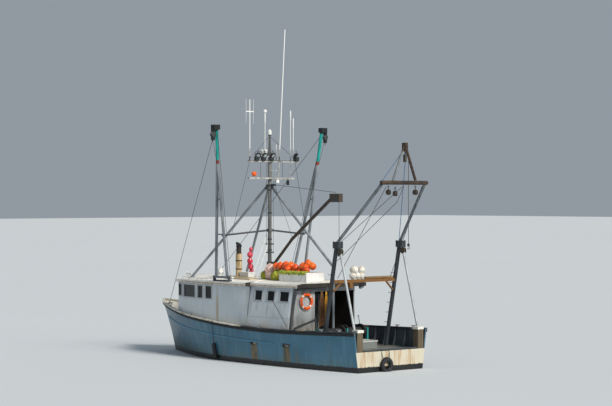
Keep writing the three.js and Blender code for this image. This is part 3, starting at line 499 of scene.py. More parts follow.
CARRIED = {
    HULL: ["hull"], BULWARK: pair("bulwark"), KEEL: ["keel", "rudder"], BRONZE: ["propeller"],
    CAP: pair("cap_rail"), BLACK: ["tyre_fender"] + pair("rub_rail"), POST: pair("corner_post"),
    GREY_DECK: ["fore_deck", "hatch_coaming"], DARK: ["bow_bitts"] + pair("outrigger_step", "spreader_bar"),
    HOUSE: ["wheelhouse_front", "cabin_partition", "aft_bulkhead",
            *pair("wheelhouse_side", "aft_house_side")],
    ROOF: ["wheelhouse_roof", "aft_house_roof"], DOOR: ["cabin_door"], HATCH: ["hatch_cover"],
    CONSOLE: ["helm_console"], GALLOWS: pair("gallows_post"), STACK: ["exhaust_stack"],
    WHITE_TRIM: ["searchlight", "radar_dome"], GEAR_WHITE: ["gear_box"], MAST: ["mast"],
    TREE: ["upper_crosstree", "lower_crosstree"], STEEL: pair("mast_leg") + ["aft_mast_leg"],
    OUTRIGGER: pair("outrigger"), BOOM: ["boom", "gantry_block"], RUST: ["gallows_beam"],
    GANTRY: ["stern_gantry"], POLE: ["spare_pole"], TEAL: ["winch_frame"], LAMP_BODY: pair("winch_drum"),
}
REAL_EDGE = 38


def smoothing_group():
    """Welds a carried-over mesh and shades it smooth except at its real edges."""
    group = bpy.data.node_groups.new("smooth_shape", "GeometryNodeTree")
    group.interface.new_socket("Geometry", in_out="INPUT", socket_type="NodeSocketGeometry")
    group.interface.new_socket("Geometry", in_out="OUTPUT", socket_type="NodeSocketGeometry")
    start, end = group.nodes.new("NodeGroupInput"), group.nodes.new("NodeGroupOutput")
    weld = group.nodes.new("GeometryNodeMergeByDistance")
    weld.inputs["Distance"].default_value = 0.0002
    bare = group.nodes.new("GeometryNodeRemoveAttribute")
    bare.inputs["Name"].default_value = "custom_normal"
    smooth = group.nodes.new("GeometryNodeSetShadeSmooth")
    crisp = group.nodes.new("GeometryNodeSetShadeSmooth")
    crisp.domain = "EDGE"
    crisp.inputs["Shade Smooth"].default_value = False
    angle = group.nodes.new("GeometryNodeInputMeshEdgeAngle")
    sharp = group.nodes.new("FunctionNodeCompare")
    sharp.operation = "GREATER_THAN"
    sharp.inputs[1].default_value = radians(REAL_EDGE)
    for a, b in ((start.outputs[0], weld.inputs[0]), (weld.outputs[0], bare.inputs[0]),
                 (bare.outputs[0], smooth.inputs[0]), (smooth.outputs[0], crisp.inputs[0]),
                 (angle.outputs["Unsigned Angle"], sharp.inputs[0]),
                 (sharp.outputs[0], crisp.inputs["Selection"]), (crisp.outputs[0], end.inputs[0])):
        group.links.new(a, b)
    return group


SMOOTH = smoothing_group()
for look, names in CARRIED.items():
    for name in names:
        carried = nodes[name]
        carried.data.materials.clear()
        carried.data.materials.append(look)
        carried.modifiers.new("shading", "NODES").node_group = SMOOTH

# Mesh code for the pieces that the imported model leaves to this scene
BODY = "boat"
BOTH = (("port", 1), ("starboard", -1))
LEAST_RADIUS = 0.0008
MAST_X = 0.4


def turns(count):
    """Angles that part a circle evenly."""
    return [k * tau / count for k in range(count)]


def mirrored(width, *rows):
    """Lathe profile that comes back the same way over its width."""
    return [*rows, *((width - d, r) for d, r in reversed(rows))]


def walk(points, closed):
    """Each point of a line, with its place in it, its neighbours and the direction there."""
    path = [Vector(p) for p in points]
    for i, here in enumerate(path):
        before = path[i - 1] if i or closed else here
        after = path[(i + 1) % len(path)] if i < len(path) - 1 or closed else here
        yield i, here, before, after, (after - before).normalized()


class Shape:
    """Collects solid parts in one mesh and hands it over as one piece."""

    def __init__(self):
        self.bm = bmesh.new()

    def rings(self, rings, cap=True, closed=False):
        """Skin between matching rings of points."""
        rows = [[self.bm.verts.new(p) for p in ring] for ring in rings]
        count = len(rows[0])
        for a, b in list(zip(rows, rows[1:])) + ([(rows[-1], rows[0])] if closed else []):
            for i in range(count):
                j = (i + 1) % count
                self.bm.faces.new((a[i], a[j], b[j], b[i]))
        if cap and not closed:
            self.bm.faces.new(reversed(rows[0]))
            self.bm.faces.new(rows[-1])
        return self

    def tube(self, points, radius, sides=8, closed=False):
        """Round bar along a line, with one radius or one for each point."""
        rings, side = [], None
        for i, here, _, _, along in walk(points, closed):
            if side is None:
                side = along.cross(UP if abs(along.z) < 0.9 else AHEAD)
            side = (side - along * side.dot(along)).normalized()
            other = along.cross(side)
            r = radius[i] if isinstance(radius, (list, tuple)) else radius
            rings.append([here + r * (cos(t) * side + sin(t) * other) for t in turns(sides)])
        return self.rings(rings, closed=closed)

    def band(self, points, out, wide, deep, closed=False):
        """Flat bar along a line: deep along the outward directions, wide across them."""
        rings, lip = [], min(wide, deep) * 0.2
        for i, here, before, after, along in walk(points, closed):
            face = (out[i] - along * out[i].dot(along)).normalized()
            across = along.cross(face)
            spread = wide / 2
            if closed or 0 < i < len(points) - 1:
                lead = (here - before).normalized()
                spread /= max(0.5, sqrt((1 + lead.dot((after - here).normalized())) / 2))
            rings.append([here + across * a * spread + face * b for a, b in (
                (-1, 0), (1, 0), (1, deep - lip), (1 - lip / spread, deep), (-1 + lip / spread, deep),
                (-1, deep - lip))])
        return self.rings(rings, closed=closed)

    def trim(self, found, wide, deep, closed=False):
        """Flat bar over the points that rays found, along their normals."""
        found = [f for f in found if f]
        return self.band([f[0] for f in found], [f[1] for f in found], wide, deep, closed)

    def upright(self, x, y, low, high, radius, sides=8):
        """Round bar that stands on end."""
        return self.tube([(x, y, low), (x, y, high)], radius, sides)

    def block(self, low, high, edge=0.008):
        """Box between two corners with its edges eased."""
        low, high = Vector(low), Vector(high)
        made = bmesh.ops.create_cube(self.bm, size=1.0)["verts"]
        centre, size = (low + high) / 2, high - low
        for v in made:
            v.co = Vector((v.co.x * size.x, v.co.y * size.y, v.co.z * size.z))
        edges = list(dict.fromkeys(e for v in made for e in v.link_edges))
        shaped = bmesh.ops.bevel(self.bm, geom=edges, offset=min(edge, min(size) * 0.3), segments=2,
                                 affect="EDGES", profile=0.6)["verts"]
        for v in shaped:
            v.co += centre
        return self

    def turned(self, at, axis, profile, sides=16):
        """Lathe shape: profile rows are (distance along the axis, radius)."""
        at, axis = Vector(at), Vector(axis).normalized()
        return self.tube([at + axis * d for d, _ in profile], [max(r, LEAST_RADIUS) for _, r in profile],
                         sides)

    def ball(self, at, radius, stretch=(1, 1, 1), sides=20):
        made = bmesh.ops.create_uvsphere(self.bm, u_segments=sides, v_segments=sides // 2 + 2,
                                         radius=radius)["verts"]
        for v in made:
            v.co = Vector([v.co[i] * stretch[i] for i in range(3)]) + Vector(at)
        return self

    def done(self, name, look, body=BODY, sharp=40):
        """Turns the mesh into a piece that rides on a body."""
        bmesh.ops.recalc_face_normals(self.bm, faces=self.bm.faces)
        mesh = bpy.data.meshes.new(name)
        self.bm.to_mesh(mesh)
        self.bm.free()
        mesh.materials.append(look)
        mesh.shade_smooth()
        mesh.set_sharp_from_angle(angle=radians(sharp))
        piece = bpy.data.objects.new(name, mesh)
        scene.collection.objects.link(piece)
        if body:
            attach(piece, body)
        return piece


TREES = {}


def hit(names, start, direction):
    """First point and normal where a ray meets the named nodes."""
    best = None
    for name in names:
        if name not in TREES:
            mesh = nodes[name].data
            TREES[name] = BVHTree.FromPolygons([v.co for v in mesh.vertices],
                                               [p.vertices for p in mesh.polygons])
        point, normal, _, away = TREES[name].ray_cast(Vector(start), Vector(direction).normalized())
        if point is not None and (best is None or away < best[2]):
            best = (point, normal, away)
    return best


def from_side(names, x, z, hand, reach=5):
    """Where a level ray from one side meets the named nodes."""
    return hit(names, (x, reach * hand, z), (0, -hand, 0))


def roof_at(x, y):
    """Height of the wheelhouse roof."""
    return hit(["wheelhouse_roof"], (x, y, 5), (0, 0, -1))[0].z


# Window frames and glass, set on the walls' outer faces
def window(frames, glass, name, a, b, low, high, rim=0.03):
    """Frame and pane between two plan points on a wall, whose outside is to the right of a-b."""
    a, b = Vector((*a, 0)), Vector((*b, 0))
    along = (b - a).normalized()
    out = Vector((along.y, -along.x, 0))
    ends = (-rim, (b - a).length / 2, (b - a).length + rim)
    heights = (low - rim, (low + high) / 2, high + rim)
    found = [hit([name], a + along * ends[i] + out * 0.8 + UP * heights[j], -out)
             for i, j in ((0, 0), (1, 0), (2, 0), (2, 1), (2, 2), (1, 2), (0, 2), (0, 1))]
    if not all(found):
        return
    frames.trim(found, 0.05, 0.018, closed=True)
    middle = sum((f[0] for f in found), Vector()) / len(found)
    inner = [(p + (middle - p).normalized() * rim * 0.7, n) for p, n, _ in found]
    glass.rings([[p - n * d for p, n in inner] for d in (0.026, 0.034)])


CAB_PANES, CAB_SILL, CAB_HEAD = ((3.01, 4.06), (2.4, 2.77), (1.73, 2.16)), 2.56, 3.06
CABIN_PANES = (-1.41, -0.98), (-2.18, -1.76), (-3.05, -2.53)
PORT_SILL, PORT_HEAD, STARBOARD_SILL, STARBOARD_HEAD = 2.61, 2.99, 2.41, 2.89
FRONT_SILL, FRONT_X = 2.58, 4.93
WALL_Y = 1.95
CORNERS = [Vector((4.2, 1.702)), Vector((4.75, 1.5)), Vector((FRONT_X, 0.95))]
frames, glass = Shape(), Shape()
for x0, x1 in CAB_PANES:
    window(frames, glass, "port_wheelhouse_side", (x1, WALL_Y), (x0, WALL_Y), CAB_SILL, CAB_HEAD)
    window(frames, glass, "starboard_wheelhouse_side", (x0, -WALL_Y), (x1, -WALL_Y), CAB_SILL, CAB_HEAD)
for x0, x1 in CABIN_PANES:
    window(frames, glass, "port_aft_house_side", (x1, WALL_Y), (x0, WALL_Y), PORT_SILL, PORT_HEAD)
for x0, x1 in CABIN_PANES[:2]:
    window(frames, glass, "starboard_aft_house_side", (x0, -STARBOARD_CABIN_Y), (x1, -STARBOARD_CABIN_Y),
           STARBOARD_SILL, STARBOARD_HEAD)
for first, wide, name in ((0, 0.42, "_wheelhouse_side"), (1, 0.4, "wheelhouse_front")):
    for side, hand in BOTH:
        a, b = [Vector((corner.x, corner.y * hand)) for corner in CORNERS[first:first + 2]]
        middle, along = (a + b) / 2, (b - a).normalized() * wide / 2 * hand
        window(frames, glass, side + name if name[0] == "_" else name, middle + along, middle - along,
               FRONT_SILL, CAB_HEAD)
for y0, y1 in ((-0.83, -0.06), (0.06, 0.83)):
    window(frames, glass, "wheelhouse_front", (FRONT_X, y1), (FRONT_X, y0), FRONT_SILL, CAB_HEAD)
frames.done("window_frames", ALUMINIUM)
glass.done("window_glass", GLASS)


# Buoys in the roof box, on the beam and by the mast
def buoy(shape, at, radius, stretch=1.0):
    """Moulded net float with a rope hub at top and bottom."""
    at = Vector(at)
    shape.ball(at, radius, (1, 1, stretch))
    top = radius * stretch
    shape.turned(at + UP * top * 0.9, UP,
                 [(0, radius * 0.3), (top * 0.16, radius * 0.26), (top * 0.28, radius * 0.1)], 12)
    shape.turned(at - UP * top * 0.9, -UP, [(0, radius * 0.3), (top * 0.12, radius * 0.24)], 12)


ROOF_BUOYS = [(-1.21, 1.0, 3.97, 0.14), (-1.44, 0.96, 3.98, 0.17), (-1.73, 0.9, 3.99, 0.185),
              (-2.03, 0.9, 3.99, 0.18), (-2.05, 1.09, 3.88, 0.135), (-2.32, 0.9, 3.93, 0.155),
              (-2.6, 0.82, 3.9, 0.155), (-2.78, 0.9, 3.99, 0.16), (-2.99, 0.8, 4.12, 0.155),
              (-3.0, 0.96, 3.95, 0.145), (-3.05, 0.62, 3.99, 0.16), (-3.17, 1.04, 3.85, 0.135),
              (-1.75, 0.68, 3.8, 0.15), (-2.3, 0.65, 3.78, 0.15), (-1.98, 1.05, 3.72, 0.12),
              (-2.7, 1.06, 3.74, 0.12), (-1.52, 0.78, 3.82, 0.12)]
heap = Shape()
for *at, radius in ROOF_BUOYS:
    buoy(heap, at, radius, 0.92)
heap = heap.done("roof_buoys", ORANGE)
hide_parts("buoy_heap")
STRING_X, STRING_Y, STRING_FOOT = 1.05, 0.54, 3.45
hung = Shape()
for *at, radius in ((STRING_X, STRING_Y, 4.37, 0.122), (STRING_X, STRING_Y, 4.1, 0.122),
                    (STRING_X, 0.5, 3.86, 0.118), (STRING_X, 0.43, 3.65, 0.118), (1.01, 0.52, 4.6, 0.08)):
    buoy(hung, at, radius, 1.08)
hung.upright(STRING_X, STRING_Y, STRING_FOOT, 4.6, 0.016)
hung.block((0.98, 0.47, 3.38), (1.12, 0.61, STRING_FOOT), 0.01)
hung = hung.done("mast_floats", PINK)
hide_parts("hanging_buoys")
BEAM_X = -5.437
white = Shape()
for y, z, radius in ((0.52, 3.92, 0.172), (0.59, 3.69, 0.14), (0.12, 3.92, 0.152), (0.14, 3.69, 0.14),
                     (0.36, 3.69, 0.136)):
    buoy(white, (BEAM_X, y, z), radius, 0.94)
white.tube([(BEAM_X + 0.02, y, z) for y, z in (
    (0.64, 3.56), (0.66, 3.75), (0.6, 3.98), (0.5, 4.09), (0.3, 4.0), (0.12, 4.08), (-0.02, 3.94),
    (0.0, 3.7), (0.1, 3.555))], 0.014)
white.block((BEAM_X - 0.03, 0.1, 3.542), (BEAM_X + 0.03, 0.64, 3.57), 0.005)
white = white.done("beam_buoys", WHITE_FLOAT)
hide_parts("beam_floats")


# Netting heaped on the roof, as lumpy bundles of thick folds
def bundle(shape, at, size, seed, folds=5, rough=0.22):
    """Pile with creased folds, kept within the given size."""
    for v in bmesh.ops.create_icosphere(shape.bm, subdivisions=5, radius=1.0)["verts"]:
        n = v.co.normalized()
        fold = sin(folds * atan2(n.y, n.x) + 3 * noise.noise(n * 1.6 + Vector((seed, 0, 0))))
        lump = noise.fractal(n * 2.2 + Vector((0, seed, 0)), 1.0, 2.0, 5)
        reach = min(0.86 + rough * lump * 0.6 + 0.06 * fold, 1.0)
        v.co = Vector(at) + Vector((n.x * size[0], n.y * size[1], n.z * size[2])) * reach


net = Shape()
for at, size, seed in (((-0.46, 0.85, 3.56), (0.33, 0.31, 0.24), 1.0),
                       ((-0.6, 0.38, 3.57), (0.25, 0.25, 0.2), 4.0),
                       ((-1.29, 0.96, 3.55), (0.36, 0.31, 0.31), 7.0)):
    bundle(net, at, size, seed)
net = net.done("net_bundle", NET_GREEN, sharp=70)
sack = Shape()
bundle(sack, (-0.77, 0.93, 3.72), (0.27, 0.26, 0.38), 11.0, 3, 0.14)
sack = sack.done("bait_sack", SACK, sharp=70)
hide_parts("net_heap")

# Ring buoy with bands and a grab line
RING, RING_RADIUS, RING_THICK = Vector((-3.312, 1.17, 2.6)), 0.28, 0.06


def ring_point(turn, out, lift):
    return RING + Vector((-lift, out * cos(turn), out * sin(turn)))


def ring_section(turn, thick):
    return [ring_point(turn, RING_RADIUS + thick * cos(s), thick * sin(s)) for s in turns(16)]


ring = Shape()
ring.rings([ring_section(t, RING_THICK) for t in turns(48)], closed=True)
ring = ring.done("ring_buoy", ORANGE)
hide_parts("life_ring")
bands = Shape()
for quarter in range(4):
    middle = pi / 4 + quarter * pi / 2
    bands.rings([ring_section(middle + turn, RING_THICK + 0.0015) for turn in (-0.13, 0, 0.13)], cap=False)
    bands.tube([ring_point(middle + k * pi / 32, 0.345 + 0.012 * sin(k * pi / 16), 0.02)
                for k in range(17)], 0.005, 6)
bands.done("ring_bands", WHITE_FLOAT)

# Forestays between the hull and the outriggers' heads, with their plates on the rail
STAY_X, HEAD_X = 6.35, 0.35
for side, hand in BOTH:
    foot_y = 0.78 * hand
    stay = Shape().tube([(STAY_X, foot_y, 2.17), (HEAD_X, 2.95 * hand, 9.55)], 0.01, 6)
    stay = stay.done(f"{side}_forestay", WIRE, None)
    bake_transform(stay)
    fitting = Shape().block((6.28, 0.72 * hand - 0.05, 2.1), (6.42, 0.81 * hand + 0.05, 2.14), 0.006)
    fitting.upright(STAY_X, foot_y, 2.12, 2.19, 0.022, 10)
    fitting.done(f"{side}_stay_plate", DARK)

# Guys that stay on the outrigger, with their feet on its hinge line, and the block under its head
GUY_FOOT_X = {1: 0.42, -1: 1.56}
for side, hand in BOTH:
    head = Vector((HEAD_X, 2.87 * hand, 9.5))
    guys = Shape().tube([head - Vector((0.05, 0, 0)), (GUY_FOOT_X[hand], 2.1 * hand, 3.52)], 0.009, 6)
    guys.tube([head + Vector((0.05, 0.2 * hand, -0.3)), (0.46, 2.66 * hand, 7.8), (0.47, 2.55 * hand, 7.2)],
              0.008, 6)
    block_y = 3.06 * hand
    guys.turned((0.28, block_y, 9.36), AHEAD,
                mirrored(0.14, (0, 0.03), (0.012, 0.115), (0.035, 0.115), (0.05, 0.09)), 20)
    guys.upright(HEAD_X, block_y, 9.14, 9.02, 0.014)
    guys.done(f"{side}_outrigger_gear", WIRE, f"{side}_outrigger")

# Boom gear: topping lift that turns about the mast, goosebrace collar and the head sheave
lift = Shape()
lift.tube([(0.02, 0.02, 7.3), (-4.25, 0.43, 6.98)], 0.01, 6)
lift.tube([(-1.27, 0.19, 5.14), (0.02, 0.02, 7.22)], 0.008, 6)
lift.turned((MAST_X, 0, 7.27), UP, mirrored(0.054, (0, 0.146), (0.004, 0.165)), 20)
lift.block((0.0, -0.02, 7.25), (0.26, 0.06, 7.35), 0.01)
lift.turned((-4.35, 0.33, 6.72), PORT,
            mirrored(0.24, (0, 0.03), (0.012, 0.13), (0.03, 0.13), (0.05, 0.1)), 20)
lift.tube([(-4.45, 0.44, 6.6), (-4.46, 0.44, 5.2), (-4.45, 0.45, 4.6)], 0.009, 6)
lift.block((-4.51, 0.41, 4.42), (-4.4, 0.47, 4.62), 0.012)
lift.done("boom_gear", WIRE, "boom")

# Crosstree stays down to the spreaders and up to the masthead
rigging = Shape()
for line in (((0.28, 1.2, 8.25), (MAST_X, 2.05, 5.22)), ((0.28, -1.3, 8.25), (MAST_X, -2.05, 5.22)),
             ((MAST_X, 0.06, 9.3), (0.28, 1.24, 8.33)), ((MAST_X, -0.06, 9.3), (0.28, -1.4, 8.33)),
             ((0.27, 0.6, 7.6), (0.27, 0.6, 8.26)), ((0.27, -0.6, 7.6), (0.27, -0.6, 8.26))):
    rigging.tube(line, 0.008, 6)
rigging.done("mast_stays", WIRE)

# Gantry and gallows gear
APEX, KNEE, BAR_X, BAR_Z, POST_Y = Vector((-7.79, 0, 8.62)), Vector((-5.78, 1.6, 5.05)), -7.75, 7.2, 1.69
gear = Shape()
for hand in (1, -1):
    gear.tube([APEX + Vector((0, 0.06 * hand, 0)), KNEE * Vector((1, hand, 1))], 0.012, 6)
gear.done("gantry_guys", BLUE_ROPE)
HOOK_X, HOOK_Y = -7.8, -0.18
warps = Shape()
for line in (((BAR_X, 0.95, BAR_Z), (-5.46, 1.42, 3.6)),
             ((BAR_X, 0.08, BAR_Z), (-7.47, 0.22, 6.95), (-5.77, 1.55, 5.02)),
             ((BAR_X, 0.02, BAR_Z), (-7.45, 0.1, 6.6), (-5.62, 1.58, 4.3)),
             ((BAR_X, -0.95, BAR_Z), (-5.46, -1.42, 3.6)), ((HOOK_X, HOOK_Y, 8.3), (HOOK_X, HOOK_Y, 4.9))):
    warps.tube(line, 0.011, 6)
warps.turned((HOOK_X, HOOK_Y, 5.0), -UP, mirrored(0.13, (0, 0.02), (0.03, 0.05)), 12)
warps.tube([(HOOK_X, HOOK_Y + 0.045 * sin(t), 4.82 - 0.045 * cos(t)) for t in
            (k * pi / 8 for k in range(-8, 5))], 0.012)
warps.done("trawl_warps", WIRE)
SHEAVE = mirrored(0.11, (0, 0.02), (0.004, 0.105), (0.018, 0.105), (0.03, 0.07))
BIG_SHEAVE = mirrored(0.12, (0, 0.03), (0.004, 0.125), (0.02, 0.125), (0.035, 0.085))
BOLT = [(0, 0.018), (0.001, 0.022), (0.014, 0.022), (0.018, 0.012)]
blocks = Shape()
for at, turn in (((-7.47, 0.22, 6.93), 0.6), ((-7.62, 0.72, 6.98), 0.2), ((-7.62, -0.72, 6.98), -0.2)):
    at = Vector(at)
    face = Vector((sin(turn) * 0.3, cos(turn), 0)).normalized()
    blocks.turned(at - face * 0.055, face, SHEAVE, 18)
    blocks.tube([at + UP * 0.08, at + UP * 0.2], 0.016)
    blocks.tube([at + Vector((0, 0.035 * cos(t), 0.22 + 0.035 * sin(t))) for t in turns(12)],
                0.011, 6, closed=True)
for hand in (1, -1):
    at = Vector((-5.93, POST_Y * hand, 4.66))
    blocks.turned(at - Vector((0, 0.06, 0)), PORT, BIG_SHEAVE, 20)
    blocks.tube([at + UP * 0.1, at + UP * 0.16], 0.018)
    for x in (-5.93, -5.63):
        for y in (1.6, 1.78):
            blocks.turned((x, y * hand, 5.05), UP, BOLT, 6)
blocks.done("gantry_blocks", BOOM)


# Lamps under the beam, on the crosstree and on the mast
def deck_lamp(shape, lens, at, aim, size):
    """Bowl lamp with a yoke, a rim and a lens."""
    at, aim = Vector(at), Vector(aim).normalized()
    shape.turned(at - aim * size, aim, [
        (0, size * 0.25), (0.02, size * 0.55), (size * 0.5, size * 0.9), (size, size),
        (size + 0.018, size * 1.08), (size + 0.03, size * 1.04)], 18)
    shape.tube([at + UP * size * 1.25 - aim * 0.03, at + UP * size * 1.9], 0.012, 6)
    side, rise = aim.cross(UP).normalized() * size * 1.12, UP * size * 1.2
    shape.tube([at + side, at + side + rise, at + UP * size * 1.3, at - side + rise, at - side], 0.009, 6)
    lens.turned(at + aim * 0.012, aim, [(0, size * 0.94), (0.012, size * 0.9), (0.022, size * 0.5),
                                        (0.025, 0.001)], 18)


lamp, lens = Shape(), Shape()
deck_lamp(lamp, lens, (-5.42, 0.12, 3.24), (-0.6, 0, -0.8), 0.1)
for y, aim in ((0.84, (-0.5, 0.6, -0.5)), (0.48, (-0.7, 0.1, -0.5)), (0.05, (-0.7, -0.1, -0.5)),
               (-1.25, (-0.5, -0.6, -0.5))):
    deck_lamp(lamp, lens, (0.13, y, 8.53), aim, 0.12)
lamp.block((0.22, -0.93, 7.3), (0.3, -0.83, 7.5), 0.015)
lamp.upright(0.26, -0.88, 7.5, 7.56, 0.012)
lamp.done("deck_lamps", LAMP_BODY)
lens.done("lamp_lenses", LENS_GLASS)

# Aerials, brackets and halyards on the mast
TREE_X, LOW_TREE_X = 0.275, 0.205
aerials = Shape()
for y in (0.98, 1.38):
    aerials.upright(TREE_X, y, 9.85, 10.85, 0.008, 6)
for x, y, low in ((TREE_X, 0.36, 9.9), (TREE_X, -1.19, 9.7), (LOW_TREE_X, -0.98, 10.0)):
    aerials.turned((x, y, low), UP, [(0, 0.012), (0.005, 0.026), (0.4, 0.026), (0.42, 0.01)], 10)
DOME = [(0, 0.02), (0.01, 0.07), (0.07, 0.085), (0.12, 0.06), (0.14, 0.01)]
MAST_CAP = [(0, 0.05), (0.02, 0.085), (0.16, 0.085), (0.2, 0.05), (0.24, 0.012)]
aerials.turned((TREE_X, 0.36, 10.32), UP, DOME, 14)
aerials.turned((MAST_X, 0, 9.4), UP, MAST_CAP, 14)
aerials.upright(LOW_TREE_X, -0.42, 9.5, 9.56, 0.03)
aerials.block((0.16, -0.33, 7.38), (0.28, -0.17, 7.52), 0.02)
for radius, line in ((0.014, ((0.22, -0.25, 7.5), (0.22, -0.25, 7.56))),
                     (0.018, ((0.3, 0, 7.88), (0.1, 0, 7.9), (-0.05, 0, 7.9))),
                     (0.022, ((0.47, 0.12, 5.2), (0.61, 0.8, 3.42))),
                     (0.022, ((0.35, 0.13, 4.85), (0.31, 0.78, 3.42)))):
    aerials.tube(line, radius)
aerials.done("aerials", WHITE_TRIM)
halyards = Shape()
for x, y, low, high in ((0.29, 0.13, 4.6, 8.2), (0.52, -0.06, 4.5, 7.1), (0.31, -0.12, 4.4, 7.5),
                        (0.44, 0.14, 4.8, 8.3)):
    halyards.upright(x, y, low, high, 0.007, 5)
for z in (4.45, 4.8):
    halyards.block((0.3, -0.16, z), (0.5, 0.16, z + 0.05), 0.012)
for z in (4.55, 5.0, 6.1):
    halyards.turned((MAST_X, 0, z), UP, mirrored(0.054, (0, 0.07), (0.004, 0.098)), 16)
halyards.done("mast_halyards", DARK)

# Trim on the hull: strake, scupper frames, cleats and drop fender
STRAKE_LINE = [(6.55, 1.53), (5.9, 1.44), (5.2, 1.36), (4.5, 1.29), (3.8, 1.22), (3.1, 1.16), (2.4, 1.11),
               (1.6, 1.06), (0.8, 1.02), (0.0, 0.98), (-0.8, 0.955), (-1.6, 0.94), (-2.4, 0.93)]
SCUPPER_RIM = (-0.21, 0.84), (-0.21, 0.925), (0.21, 0.925), (0.21, 0.84)
strakes, scuppers, cleats = Shape(), Shape(), Shape()
for side, hand in BOTH:
    bulwark = f"{side}_bulwark"
    strakes.trim([from_side(["hull", bulwark], x, z, hand) for x, z in STRAKE_LINE], 0.06, 0.03)
    for x in (FIRST_SCUPPER, FIRST_SCUPPER - SCUPPER_STEP):
        spots = [from_side([bulwark], x + dx, z, hand) for dx, z in SCUPPER_RIM]
        if all(spots):
            scuppers.trim(spots, 0.035, 0.014)
    for x in (5.6, 3.4, -1.5, -5.2, -6.2):
        for y in (v / 100 for v in range(20, 226, 3)):
            found = hit([f"{side}_cap_rail"], (x, y * hand, 4), (0, 0, -1))
            if found:
                at = found[0] + Vector((0, 0.06 * hand, 0))
                horns = ((-0.14, 0.075), (-0.05, 0.06), (0.05, 0.06), (0.14, 0.075))
                cleats.tube([at + Vector((dx, 0, dz)) for dx, dz in horns], [0.012, 0.02, 0.02, 0.012])
                for dx in (-0.04, 0.04):
                    cleats.tube([at + Vector((dx, 0, -0.004)), at + Vector((dx, 0, 0.06))], [0.03, 0.018])
                break
strakes.done("side_strakes", STRAKE)
scuppers.done("scupper_frames", DARK)
cleats.done("rail_cleats", ALUMINIUM)
FENDER_X = 1.5
fender = Shape()
skin_y = from_side(["hull"], 1.44, 0.4, 1)[0].y
fender.turned((FENDER_X, skin_y + 0.1, 0.72), (-0.09, -0.06, -0.7),
              mirrored(0.69, (0, 0.02), (0.03, 0.06), (0.09, 0.085)), 16)
fender.tube([(FENDER_X, skin_y + dy, z) for dy, z in ((0.1, 0.7), (0.14, 1.1), (0.19, 1.62))], 0.009, 6)
fender.done("drop_fender", BLACK)

# Stiffeners inside the bulwarks
ribs = Shape()
for side, hand in BOTH:
    for x in [-6.4 + 0.62 * k for k in range(6)]:
        low, high = [hit([f"{side}_bulwark"], (x, 0, z), (0, hand, 0)) for z in (0.9, 1.42)]
        if low and high:
            foot, head = low[0].copy(), high[0].copy()
            foot.z = 0.805
            foot.y -= 0.002 * hand
            ribs.rings([[p + Vector((dx, dy * hand, 0)) for dx, dy in ((-0.02, 0), (0.02, 0), (0.02, -d),
                                                                       (-0.02, -d))]
                        for p, d in ((foot, 0.16), ((foot + head) / 2, 0.1), (head + UP * 0.06, 0.05))])
ribs.done("bulwark_ribs", RIB)

# House trim: corner stays, rod, skirting panel and drip strips
posts = Shape()
posts.tube([(-3.42, 1.79, 3.16), (-3.32, 1.88, 2.4), (-3.32, 2.0, 1.53)], 0.055, 12)
posts.tube([(-3.46, 1.76, 3.1), (-3.46, 0.3, 3.1)], 0.05, 10)
posts.tube([(-3.36, 1.86, 1.56), (-3.3, 0.68, 1.86)], 0.03)
posts.done("awning_posts", DARK)
Shape().tube([(-2.21, 2.02, 2.62), (-3.2, 2.12, 1.62)], 0.012, 6).done("side_rod", DARK)
columns = [[from_side(["port_aft_house_side"], -0.82 - 2.38 * k / 9, z, 1, 4) for z in (1.95, 2.24, 2.53)]
           for k in range(10)]
Shape().rings([[spot + out * 0.012 for spot, out, _ in rows]
               + [spot - out * 0.004 for spot, out, _ in rows[::-1]]
               for rows in columns]).done("side_panel", PANEL)
drips = Shape()
for name, spots in (("wheelhouse_roof", (-0.64, 0.2, 1.1, 2.0, 3.0, 3.7, 4.2)),
                    ("aft_house_roof", (-3.54, -2.0, -1.3, -0.66))):
    for hand in (1, -1):
        drips.trim([from_side([name], x, 3.2, hand, 4) for x in spots], 0.035, 0.012)
drips.done("roof_drips", RUST_TRIM)

# Oilskins and their hooks in the cabin's opening
CLOTH_X, HOOK_TOP_X = -3.44, -3.445


def cloth_panel(low, high, seed, waist, ripple):
    """Hanging garment: a folded sheet with soft vertical folds that gathers at its top."""
    rows, columns, half = 20, 54, 0.006
    rings = []
    for i in range(rows + 1):
        v = i / rows
        z = high[1] + (low[1] - high[1]) * v
        pinch = 0.35 + 0.65 * min(1, v * 3) - waist * sin(pi * v)
        line = []
        for j in range(columns + 1):
            u = j / columns
            y = (low[0] + high[0]) / 2 + (u - 0.5) * (high[0] - low[0]) * pinch
            fold = ripple * min(1, v * 2.5) * sin(u * 21 + seed + 1.3 * v)
            line.append((fold + 0.012 * noise.noise(Vector((u * 5, v * 6, seed))), y))
        rings.append([(CLOTH_X - half + x, y, z) for x, y in line] +
                     [(CLOTH_X + half + x, y, z) for x, y in line[::-1]])
    return Shape().rings(rings)


oilskins = cloth_panel((0.12, 1.62), (0.33, 2.98), 1.0, 0.1, 0.03)
oilskins = oilskins.done("yellow_oilskin", OILSKIN, sharp=60)
brown = cloth_panel((0.33, 1.42), (0.6, 3.0), 4.0, 0.08, 0.034)
brown = brown.done("brown_oilskin", OILSKIN_BROWN, sharp=60)
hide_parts("hanging_oilskins")
hooks = Shape()
for y in (0.22, 0.46):
    hooks.tube([(HOOK_TOP_X, y, 3.15), (HOOK_TOP_X, y, 3.02), (-3.46, y, 2.98), (-3.48, y, 3.0)], 0.007, 6)
    hooks.turned((HOOK_TOP_X, y, 3.149), -UP, [(0, 0.022), (0.004, 0.022), (0.01, 0.008)], 10)
hooks.done("awning_hooks", DARK)

